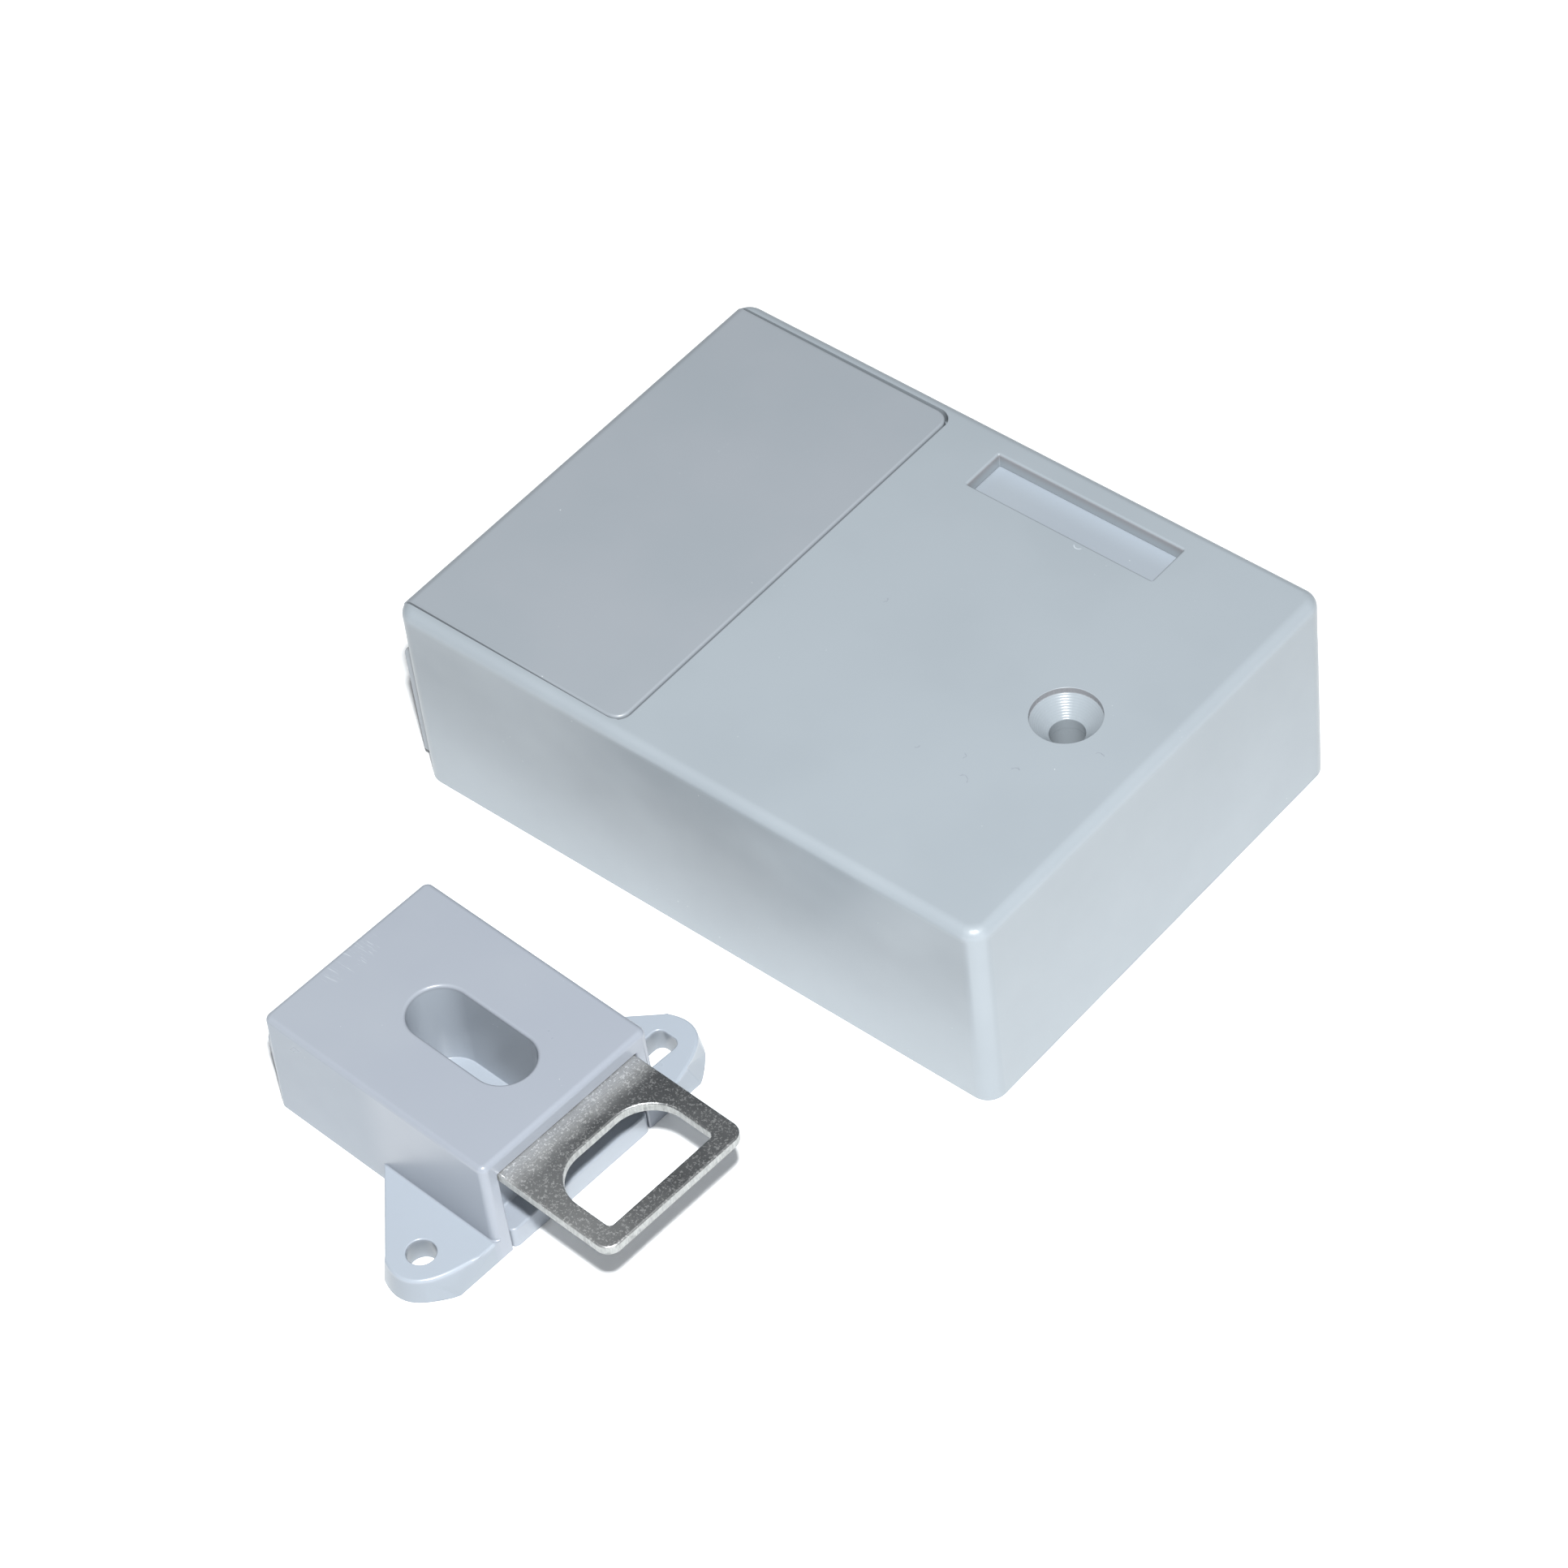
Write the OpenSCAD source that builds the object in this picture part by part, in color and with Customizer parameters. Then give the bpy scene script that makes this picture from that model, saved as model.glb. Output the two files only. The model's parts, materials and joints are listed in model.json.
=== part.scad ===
// Electronic cabinet lock: a battery lock unit and its separate keeper, in millimetres.
// +Z is up from the surface that both pieces rest on, and +X runs along the lock unit's length.
// The origin is the centre of the lock unit's base.

/* [Lock unit case] */
// Length of the lock unit, from its left end to its right end
body_l = 107; // [105:0.5:115]
// Width of the lock unit
body_w = 78.5; // [77:0.5:86]
// Height of the lock unit
body_h = 35.6; // [35.4:0.1:38]
// Radius of the case's upright corners
corner_r = 3.1; // [2.2:0.1:4]
// Radius of the case's top edges
top_edge_r = 1.8; // [0.8:0.1:1.9]
// Thickness of the case's side walls
wall = 2.2; // [1.8:0.1:2.6]
// Thickness of the case's top wall, which is also the depth of the tongue slot's recess
top_t = 2.4; // [1.8:0.1:2.6]
// Thickness of the base plate
base_t = 2.4; // [2.2:0.1:2.6]

/* [Battery cover] */
// Length of the cover's flat top, from the left end
cover_l = 41.4; // [40.5:0.1:43]
// Thickness of the cover
cover_t = 2; // [1.6:0.1:2.2]
// Width of the case's rim beside the cover
rim = 2; // [1.9:0.1:2.6]
// Gap around the cover
cover_gap = 0.3; // [0.2:0.05:0.4]
// Radius of the cover's two inner corners
cover_corner_r = 2.3; // [1:0.1:4]
// How far the thumb grip stands proud of the left end
grip_proud = 2.1; // [1:0.1:3]
// Height of the thumb grip
grip_h = 22.3; // [16:0.1:26]

/* [Tongue slot and ejector] */
// Length of the slot's opening
slot_l = 33.4; // [31:0.1:34]
// Width of the slot's opening
slot_w = 7.3; // [6.6:0.1:8]
// Distance from the slot to the right end of the case
slot_right_inset = 21.6; // [20.5:0.1:23]
// Distance from the slot to the far side of the case
slot_far_inset = 4.5; // [4.2:0.1:5.2]
// Travel of the ejector
ejector_travel = 17.8; // [12:0.1:18]
// Thickness of the ejector's head
ejector_t = 5; // [3.6:0.1:5.2]

/* [Installation holes] */
// Diameter of each installation hole
install_d = 5.2; // [4.2:0.1:5.6]
// Diameter of the screw head's seat
install_head_d = 10.5; // [9:0.1:11]
// Depth of the straight part of the seat
install_step = 1; // [0.5:0.1:1.4]
// Distance from the open installation hole to the right end of the case
hole_right_inset = 15.5; // [14.5:0.1:16]

/* [Latch and gears] */
// Width of the latch bolt
bolt_w = 13; // [11:0.1:13.4]
// Thickness of the latch bolt
bolt_t = 5; // [4:0.1:5]
// Travel of the latch bolt
bolt_travel = 8; // [5:0.1:8.4]
// Module of the rack and of the pinion that drives it
rack_module = 0.8; // [0.78:0.01:0.82]
// Module of the gear train
train_module = 0.5; // [0.48:0.01:0.5]
// Diameter of the gear axles
axle_d = 2; // [1.6:0.1:2.2]
// Diameter of the motor
motor_d = 12; // [11:0.1:12]
// Length of the motor's can
motor_l = 15; // [13:0.1:15]

/* [Batteries] */
// Diameter of a battery cell
cell_d = 14.2; // [13.8:0.1:14.5]
// Length of a battery cell, with its button
cell_l = 50.5; // [49:0.1:51]
// Length of a battery contact spring as fitted
contact_spring_l = 6.5; // [5.5:0.1:7.5]

/* [Keeper] */
// Length of the keeper's housing
keeper_l = 43.9; // [43:0.1:48]
// Width of the keeper's housing
keeper_w = 32.7; // [31.5:0.1:36]
// Height of the keeper's housing
keeper_h = 19.2; // [17.6:0.1:22]
// Thickness of the keeper's walls
keeper_wall = 2.9; // [2.2:0.1:3.1]
// Thickness of the keeper's top wall
keeper_top_t = 2.9; // [2:0.1:3.1]
// Length of the oblong well
well_l = 22; // [19:0.1:22.2]
// Width of the oblong well
well_w = 9.4; // [8:0.1:9.8]
// Distance from the keeper's back to the middle of the well
well_x = 25.4; // [25:0.1:26]
// Diameter of the ear's screw hole
ear_hole_d = 4.3; // [3.4:0.1:5]
// Length of the far ear's slotted hole
ear_slot_l = 6.5; // [5.4:0.1:7]
// Thickness of the ears
ear_t = 4.1; // [3:0.1:5]

/* [Tongue] */
// Thickness of the tongue's sheet
tongue_t = 1.5; // [1.2:0.1:2]
// How far the tongue reaches past the keeper's front
tongue_reach = 20.5; // [18:0.1:24]
// Width of the tongue
tongue_w = 26.7; // [24:0.1:26.7]
// Length of the D-shaped hole
eye_l = 12.4; // [10:0.1:13]
// Width of the D-shaped hole
eye_w = 20; // [16:0.1:20.5]
// Distance from the D-shaped hole to the tongue's tip
eye_inset = 3; // [2.4:0.1:4]

/* [Place of the keeper] */
// Distance of the keeper's back from the lock unit's middle, along the length
keeper_x = -27.2; // [-60:0.1:20]
// Distance of the keeper's middle from the lock unit's middle, across the width
keeper_y = -81.1; // [-140:0.1:-80]
// Turn of the keeper on the surface, in degrees
keeper_turn = -3.1; // [-5:0.1:5]

/* [Hidden] */
$fn = 64;

case_grey = [0.72, 0.76, 0.80];
cover_grey = [0.67, 0.71, 0.75];
inner_grey = [0.60, 0.63, 0.67];
steel = [0.55, 0.55, 0.56];
zinc = [0.70, 0.70, 0.72];
black_plastic = [0.12, 0.12, 0.13];
gear_white = [0.90, 0.89, 0.84];
board_green = [0.06, 0.32, 0.18];
copper = [0.72, 0.40, 0.20];
cell_black = [0.16, 0.17, 0.20];

// Overrun of every cut past the face that it leaves
over = 1;
// Gap between still pieces that don't touch
still_gap = 0.3;
// Gap between a running face and its guide
run_gap = 0.05;
// Radial clearance of a screw or an axle in its hole
pin_gap = 0.02;
// Radial clearance of a gear's or a plunger's bore
bore_gap = 0.04;

// Case: faces and rooms
left = -body_l / 2;
right = body_l / 2;
far = body_w / 2;
inner_top = body_h - top_t;
room_y = far - wall;
flap_room = cover_t + cover_gap;
end_wall_t = 1.6;
sill_h = 2;
pocket_z = body_h - cover_t - cover_gap / 2;
pocket_x = left + cover_l + cover_gap;
pocket_y = far - rim;
cover_ledge = 1.5;
cover_ledge_t = 2;
partition_x0 = pocket_x - cover_ledge;
partition_x1 = pocket_x + cover_ledge / 2;
battery_room_x0 = left + flap_room + end_wall_t;
battery_mid_x = (battery_room_x0 + partition_x0) / 2;

// Cover: its half width, hooks and grip
cover_y = pocket_y - cover_gap;
hook_l = 6;
hook_t = 0.9;
hook_lip = 1.3;
hook_gap = 0.3;
hook_place_shares = [0.26, 0.78];
hook_top_z = pocket_z - cover_ledge_t - hook_gap;
hook_y0 = room_y - cover_ledge - hook_gap - hook_t;
grip_foot_share = 0.86;

// Slot, its shaft and the ejector
slot_x = right - slot_right_inset - slot_l / 2;
slot_y = far - slot_far_inset - slot_w / 2;
shaft_margin = 1.3;
shaft_wall = 1.5;
shaft_l = slot_l + 2 * shaft_margin;
shaft_w = slot_w + 2 * shaft_margin;
shaft_near_y = slot_y - shaft_w / 2 - shaft_wall;
ejector_gap = 0.2;
ejector_stop_gap = 0.1;
ejector_top_z = inner_top - ejector_stop_gap;
ejector_under_z = ejector_top_z - ejector_t;
skirt_t = 2;
skirt_h = 7;
spring_d = 5;
spring_wire = 0.6;
spring_turns = 11;
spring_seat_gap = 0.1;
spring_pocket_d = spring_d + 0.16 * spring_d;
spring_pocket_h = 2.3;
spring_place_share = 0.685;
spring_x = spring_place_share * slot_l / 2;
spring_peg_d = 3.2;
spring_peg_h = 4;

// Installation holes
hole_x = right - hole_right_inset;
hole_column_wall = 1.95;
install_cone_h = (install_head_d - install_d) / 2;

// Screws
base_screw_d = 2.6;
base_screw_l = 9;
base_head_d = 4.6;
base_head_h = 1.2;
head_gap = 0.2;
base_boss_d = 5.6;
base_boss_h = 11.6;
base_rib_t = 1.6;
base_screw_inset = 3.35;
board_screw_d = 2;
board_screw_l = 3.6;
board_head_d = 3.8;
board_head_h = 1.2;
box_screw_d = 2.2;
box_head_d = 4;
box_head_h = 1.5;
screw_slot_w_share = 0.2;
screw_slot_h_share = 0.5;

// Left and right pairs of base screws
base_screw_xs = [battery_room_x0 + base_screw_inset, right - wall - base_screw_inset];
base_screw_y = room_y - base_screw_inset;

// Gearbox: levels from the top down
box_boss_h = 2.2;
box_plate_t = 1.7;
box_top_z = inner_top - box_boss_h;
box_under_z = box_top_z - box_plate_t;
level_gap = 0.4;
high_gear_t = 2.2;
high_gear_z = box_under_z - level_gap - high_gear_t;
low_gear_t = 2.6;
low_gear_z = high_gear_z - level_gap - low_gear_t;
bolt_z = low_gear_z - level_gap - bolt_t;
deck_t = 2.2;
deck_z = bolt_z - run_gap - deck_t;
pinion_teeth = 12;
wheel_teeth = 36;
rack_pinion_r = rack_module * pinion_teeth / 2;
train_distance = train_module * (pinion_teeth + wheel_teeth) / 2;
tooth_angle = 20;
add_share = 0.7;
ded_share = 1.15;
backlash_share = 0.2;
rack_add_share = 0.6;
rack_ded_share = 0.95;
gear_hub_d = 3.6;
drive_x = slot_x - bolt_w / 2 - rack_ded_share * rack_module - rack_pinion_r;
drive_back = 22.65;
drive_y = shaft_near_y - drive_back;
second_y = drive_y - train_distance;
motor_dir = -60;
motor_x = drive_x + train_distance * cos(motor_dir);
motor_y = second_y + train_distance * sin(motor_dir);
wheel_out_r = train_module * (wheel_teeth / 2 + add_share);

// Gearbox: plates and pillars
pillar_d = 5.2;
pillar_inset = 3;
box_margin = 1;
box_x0 = partition_x1 + box_margin;
box_x1 = slot_x + bolt_w / 2 + pillar_d + 2 * box_margin;
box_y0 = motor_y - motor_d / 2 - 1.3 * box_margin;
box_y1 = shaft_near_y - still_gap;
pillar_xs = [box_x0 + pillar_inset, box_x1 - pillar_inset];
pillar_ys = [box_y0 + pillar_inset, box_y1 - pillar_inset];
rail_t = 1;
rail_h = 3;
sleeve_wall = 1.1;
sleeve_h = 4.5;
sleeve_floor = 1;
motor_gap = 0.1;
motor_top_z = high_gear_z - level_gap;
motor_base_z = motor_top_z - motor_l;
motor_nose_d = 4;
motor_nose_h = 0.3;
motor_shaft_d = 1.5;
axle_seat = 1.3;

// Latch bolt
bolt_tip_back = 0.25;
bolt_tip_y = slot_y - shaft_w / 2 - bolt_tip_back;
bolt_back_y = drive_y - bolt_travel - rack_pinion_r * 0.8;
bolt_chamfer = 1.2;
rack_pitch = PI * rack_module;
rack_teeth = ceil((bolt_travel + rack_pinion_r * 1.2) / rack_pitch);
rack_end_y = drive_y + 2.2 * rack_pitch + bolt_travel;
bolt_window_gap = 0.3;

// Battery holder
holder_floor = 1.2;
holder_wall = 1.4;
cell_gap = 0.3;
cell_rest = 0.15;
cell_pitch = cell_d + cell_gap;
cell_low_z = base_t + holder_floor + cell_rest + cell_d / 2;
plate_t = 0.4;
plate_w = 9;
cell_room_y = (cell_l + contact_spring_l) / 2;
holder_y = cell_room_y + plate_t + holder_wall;
holder_x = cell_pitch + 0.5 * cell_gap;
holder_h = cell_low_z + 1.35 * cell_d - base_t;
holder_end_h = cell_low_z + cell_pitch + 0.36 * cell_d - base_t;
cell_button_d = 5.5;
cell_button_h = 1;
contact_wire = 0.6;
contact_coil_d = 6.6;
contact_turns = 4.5;
tab_w = 1.2;
tab_l = 2;

// Circuit board
board_t = 1.6;
board_post_h = 2.2;
board_post_d = 5;
board_z = base_t + board_post_h;
board_top_z = board_z + board_t;
board_side_gap = 0.4;
board_near_gap = 2;
board_x0 = partition_x1 + board_side_gap;
board_x1 = hole_x - install_head_d / 2 - hole_column_wall - 3 * board_side_gap;
board_y0 = -far + wall + board_near_gap;
board_y1 = shaft_near_y - board_side_gap;
board_w = board_x1 - board_x0;
board_l = board_y1 - board_y0;
board_screw_inset = 2.6;
board_low_screw_share = 0.155;
coil_margin = 5.9;
coil_band = 2.6;
coil_h = 1.6;
coil_r = 4;
chip_size = [10, 10, 1.6];
reader_size = [6, 5, 1.5];
socket_size = [6, 7.5, 5.8];
buzzer_d = 11.6;
buzzer_h = 6.6;
buzzer_hole_d = 2;
capacitor_d = 6.3;
capacitor_h = 6.8;
chip_place_share = [0.30, 0.53];
reader_place_share = [0.40, 0.76];
buzzer_place_share = [0.80, 0.43];
capacitor_place_share = [0.82, 0.68];
// Places of the two sockets: from the board's left edge and the battery holder's end, and from the motor
battery_socket_side = 5.25;
battery_socket_back = 17.3;
motor_socket_side = 9.2;
motor_socket_back = 7.55;

// Set switch and its button
switch_size = [4, 5, 4];
switch_y_share = 0.062;
switch_y = board_y0 + switch_y_share * board_l;
switch_x0 = board_x0 + 0.5 * board_side_gap;
button_d = 3;
button_press = 0.6;
button_proud = 1.8;
button_z = board_top_z + switch_size.z / 2;
button_hole_gap = 0.3;

// Door switch under the ejector
door_switch_size = [12.8, 5.8, 6.3];
door_plunger_d = 2.4;
door_plunger_l = 4.3;
door_plunger_proud = 1.1;
door_press = 0.4;

// Leads and the notch that the battery leads pass through
lead_d = 1.3;
lead_sides = 8;
notch_w = 6;
notch_h = 8.4;
notch_back = 0.75;
notch_y = holder_y + notch_back;
// Routes of the leads, one point for each ring of the tube: the battery leads from the far end of the
// battery holder at the height of its low cells, and the motor leads from the middle of the motor's base
battery_lead_red = [[7.25, 2.02, 0], [7.25, 2.7, 0], [8.05, 3.6, -0.25], [10.45, 3.9, -0.65],
    [13.45, 3.9, -1.45], [15.85, 3.7, -2.25], [18.45, 3.1, -3.25], [21.45, 1.7, -3.65], [23.45, -0.9, -3.45],
    [24.45, -3.7, -2.65], [25.05, -6.7, -1.65], [25.55, -9.7, 0.15], [26.25, -12.5, 2.05], [26.75, -14.7, 2.65],
    [27, -16.2, 1.95], [27.05, -16.9, 0.55], [27.05, -17.1, -1.25]];
battery_lead_black = [[-7.25, 2.05, 0], [-7.25, 2.8, 0], [-6.35, 3.9, -0.65], [-3.95, 4.6, -2.05],
    [-0.55, 4.9, -3.45], [3.45, 4.9, -4.65], [8.45, 4.9, -5.45], [13.45, 4.7, -5.75], [18.45, 4.3, -5.85],
    [21.05, 2.9, -5.85], [21.85, -0.3, -5.45], [22.05, -3.5, -4.05], [22.45, -6.7, -2.25], [23.15, -9.9, -0.45],
    [23.95, -12.6, 1.85], [24.55, -14.7, 2.55], [24.95, -16.2, 1.85], [25, -16.9, 0.45], [25, -17.1, -1.25]];
motor_lead_red = [[1.45, -0.9, -0.02], [1.45, -0.9, -0.9], [1.75, -1.5, -2.1], [2.55, -3, -2.7],
    [3.55, -4.8, -2.7], [4.45, -6, -2], [4.95, -6.6, -0.5], [5.25, -6.8, 1.3], [6.15, -6.9, 2.3],
    [7.55, -7, 2.2], [8.35, -7.1, 1], [8.45, -7.1, -0.5], [8.45, -7.1, -1.7]];
motor_lead_black = [[-1.15, -1.6, -0.02], [-1.15, -1.6, -0.9], [-0.75, -2.4, -2.1], [0.45, -4.5, -2.8],
    [2.05, -6.7, -2.8], [3.55, -8.3, -2.1], [4.65, -8.9, -0.5], [5.15, -9, 1.3], [6.15, -9, 2.3],
    [7.55, -9, 2.2], [8.35, -9.1, 1], [8.45, -9.1, -0.5], [8.45, -9.1, -1.7]];

// Keeper: its own frame has X from its back to its front and Y across, from its near side
keeper_edge_r = 0.9;
keeper_corner_r = 1.2;
room_z = keeper_h - keeper_top_t;
well_floor = 3.6;
well_tube_wall = 1.6;
well_tube_gap = 0.2;
adjust_slot_w = 4.6;
adjust_slot_l = 13;
ear_root_x = 22;
ear_tip_back = 7;
ear_tip_x = keeper_l - ear_tip_back;
ear_tip_out = 8.1;
ear_tip_r = 5;
ear_front_out = 7.4;
ear_bevel_x = 2.9;
ear_bevel_out = 11.8;
ear_hole_out = 7.4;
ear_slot_out = 5.6;
ear_slot_r = 1.3;
keeper_column_d = 5.6;
keeper_screw_d = 2.6;
keeper_screw_l = 10;
keeper_head_d = 4.8;
keeper_head_h = 1.6;
keeper_screw_x = 4.6;
keeper_screw_spread = 14.7;
lip_h = 3.9;
lip_back = 4;
lip_proud = 0.3;
lip_r = 1;
back_plate_t = 0.7;
back_plate_h = 14.3;
back_plate_inset = 1.1;
back_plate_r = 1.5;
insert_gap = 0.1;
insert_pocket_inset = 2.2;
insert_pocket_h = 10;
tongue_back_x = 8.4;
tongue_corner_r = 2.2;
eye_big_r = 6.2;
eye_small_r = 0.7;
tongue_z = room_z - insert_gap - tongue_t;
keeper_mid = keeper_w / 2;

// Plain shapes

// Flat rectangle of size l by w, centred, with round corners of radius r
module round_rect(l, w, r) {
    square([l - 2 * r, w], center = true);
    square([l, w - 2 * r], center = true);
    for (sx = [-1, 1], sy = [-1, 1]) translate([sx * (l / 2 - r), sy * (w / 2 - r)]) circle(r);
}

// Flat oblong along X of length l and width w, centred
module oblong(l, w) {
    square([l - w, w], center = true);
    for (sx = [-1, 1]) translate([sx * (l - w) / 2, 0]) circle(w / 2);
}

// Block standing on z = 0 with upright corners of radius rv and top edges of radius rt
module soft_block(l, w, h, rv, rt) {
    linear_extrude(h - rt) round_rect(l, w, rv);
    linear_extrude(h) round_rect(l - 2 * rt, w - 2 * rt, rv - rt);
    for (s = [-1, 1]) {
        translate([0, s * (w / 2 - rt), h - rt]) rotate([0, 90, 0])
            cylinder(r = rt, h = l - 2 * rv, center = true);
        translate([s * (l / 2 - rt), 0, h - rt]) rotate([90, 0, 0])
            cylinder(r = rt, h = w - 2 * rv, center = true);
    }
    for (sx = [-1, 1], sy = [-1, 1]) translate([sx * (l / 2 - rv), sy * (w / 2 - rv), h - rt])
        rotate_extrude() {
            intersection() {
                translate([rv - rt, 0]) circle(rt);
                square([rv, rt]);
            }
            square([rv - rt, rt]);
        }
}

// Pan-headed screw with its head on z = 0 and its shank down, and a driving slot across the head
module pan_screw(d, l, head_d, head_h) {
    difference() {
        union() {
            translate([0, 0, -l]) cylinder(d = d, h = l);
            cylinder(d = head_d, h = head_h);
        }
        translate([0, 0, head_h * (1 - screw_slot_h_share / 2)])
            cube([head_d + over, screw_slot_w_share * head_d, head_h * screw_slot_h_share], center = true);
    }
}

// Box whose near lower corner is at p, with size s
module box_at(p, s) {
    translate(p) cube(s);
}

// Round tube with its own ends along a list of points

function unit(v) = v / norm(v);
function run_dir(p, i) = unit(p[min(i + 1, len(p) - 1)] - p[max(i - 1, 0)]);
function ring_points(p, i, r, sides, ref) =
    let (t = run_dir(p, i), n = unit(cross(t, ref)), b = cross(t, n))
    [for (k = [0:sides - 1]) p[i] + r * cos(360 * k / sides) * n + r * sin(360 * k / sides) * b];
function tube_faces(rings, sides) = concat(
    [for (i = [0:rings - 2], k = [0:sides - 1]) let (a = i * sides, n = (k + 1) % sides)
        [a + k, a + sides + k, a + n]],
    [for (i = [0:rings - 2], k = [0:sides - 1]) let (a = i * sides, n = (k + 1) % sides)
        [a + n, a + sides + k, a + sides + n]],
    [for (k = [1:sides - 2]) [0, k, k + 1]],
    [for (k = [1:sides - 2]) let (a = (rings - 1) * sides) [a, a + k + 1, a + k]]);
module tube_along(p, d, sides, ref) {
    polyhedron([for (i = [0:len(p) - 1]) each ring_points(p, i, d / 2, sides, ref)],
        tube_faces(len(p), sides));
}

// Coil spring of outer diameter d and length l up Z, as one unbroken tube
coil_rings = 8;
coil_sides = 6;
function coil_points(d, l, wire, turns) = [for (i = [0:turns * coil_rings])
    let (a = 360 * i / coil_rings, r = (d - wire) / 2)
    [r * cos(a), r * sin(a), wire / 2 + (l - wire) * i / (turns * coil_rings)]];
function coil_ring(p, i, wire) = let (q = p[i], n = unit([q.x, q.y, 0]), t = run_dir(p, i), b = unit(cross(t, n)))
    [for (k = [0:coil_sides - 1]) q + wire / 2 * (cos(360 * k / coil_sides) * n + sin(360 * k / coil_sides) * b)];
module coil_spring(d, l, wire, turns) {
    p = coil_points(d, l, wire, turns);
    polyhedron([for (i = [0:len(p) - 1]) each coil_ring(p, i, wire)], tube_faces(len(p), coil_sides));
}
function least_gap(p, wire) = min([for (i = [0:len(p) - 1], j = [i + coil_rings - 2:1:len(p) - 1])
    norm(p[i] - p[j])]) - wire;

// Involute gears

function involute(base_r, r) = r <= base_r ? 0 : let (t = sqrt(r * r / (base_r * base_r) - 1)) t * 180 / PI - atan(t);
function tooth_half(z, m, r) = let (p = m * z / 2, b = p * cos(tooth_angle))
    (90 - 90 * backlash_share / PI) / z + involute(b, p) - involute(b, max(r, b));
flank_shares = [0, 0.33, 0.66, 1];
function tooth_points(z, m, turn) = let (r0 = m * (z / 2 - ded_share), r1 = m * (z / 2 + add_share),
        b = max(r0, m * z / 2 * cos(tooth_angle)))
    [for (i = [0:z - 1]) let (a = turn + 360 * i / z) each concat(
        [r0 * [cos(a - tooth_half(z, m, b)), sin(a - tooth_half(z, m, b))]],
        [for (f = flank_shares) let (r = b + f * (r1 - b), h = tooth_half(z, m, r)) r * [cos(a - h), sin(a - h)]],
        [for (f = flank_shares) let (r = r1 - f * (r1 - b), h = tooth_half(z, m, r)) r * [cos(a + h), sin(a + h)]],
        [r0 * [cos(a + tooth_half(z, m, b)), sin(a + tooth_half(z, m, b))]])];
// Turn of a gear of z_b teeth that meshes with one of z_a teeth and turn turn_a, which stands at dir from it
function mesh_turn(z_b, dir, z_a, turn_a) = dir - (0.5 - (dir + 180 - turn_a) * z_a / 360) * 360 / z_b;
module gear(z, m, t, turn) {
    linear_extrude(t) polygon(tooth_points(z, m, turn));
}

drive_turn = 0;
second_pinion_turn = mesh_turn(pinion_teeth, 90, wheel_teeth, drive_turn);
second_wheel_turn = 0;
motor_pinion_turn = mesh_turn(pinion_teeth, motor_dir + 180, wheel_teeth, second_wheel_turn);

// Lock unit: case

module install_seat(top_z, step) {
    translate([0, 0, top_z - step - install_cone_h])
        cylinder(d1 = install_d, d2 = install_head_d, h = install_cone_h);
    translate([0, 0, top_z - step]) cylinder(d = install_head_d, h = step + over);
}

module slot_shaft() {
    box_at([slot_x - shaft_l / 2 - shaft_wall, shaft_near_y, base_t],
        [shaft_l + 2 * shaft_wall, room_y - shaft_near_y + wall / 2, inner_top - base_t + top_t / 2]);
}

// Bosses for the base screws, each with a rib to the side wall
module base_bosses() {
    for (x = base_screw_xs, s = [0, 1]) mirror([0, s, 0]) translate([x, base_screw_y, base_t]) {
        cylinder(d = base_boss_d, h = base_boss_h);
        box_at([-base_rib_t / 2, 0, 0], [base_rib_t, base_screw_inset + wall / 2, base_boss_h]);
    }
}

module case_rooms() {
    box_at([battery_room_x0, -room_y, -over],
        [partition_x0 - battery_room_x0, 2 * room_y, body_h + 2 * over]);
    box_at([partition_x0 - over, -room_y, -over], [right - wall - partition_x0 + over, 2 * room_y, base_t + over]);
    box_at([partition_x1, -room_y, -over], [right - wall - partition_x1, 2 * room_y, inner_top + over]);
}

module cover_pocket() {
    translate([0, 0, pocket_z]) linear_extrude(cover_t + over) {
        translate([left - over, -pocket_y])
            square([pocket_x - left + over - cover_corner_r, 2 * pocket_y]);
        translate([pocket_x - 2 * cover_corner_r, -pocket_y + cover_corner_r])
            square([2 * cover_corner_r, 2 * (pocket_y - cover_corner_r)]);
        for (s = [-1, 1]) translate([pocket_x - cover_corner_r, s * (pocket_y - cover_corner_r)])
            circle(cover_corner_r);
    }
    box_at([left - over, -pocket_y, sill_h], [flap_room + over, 2 * pocket_y, body_h]);
    for (s = [-1, 1]) box_at([left, s > 0 ? hook_y0 - hook_gap : -pocket_y, hook_top_z - hook_lip - hook_gap],
        [flap_room + end_wall_t + over, pocket_y - hook_y0 + hook_gap, body_h]);
}

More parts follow.
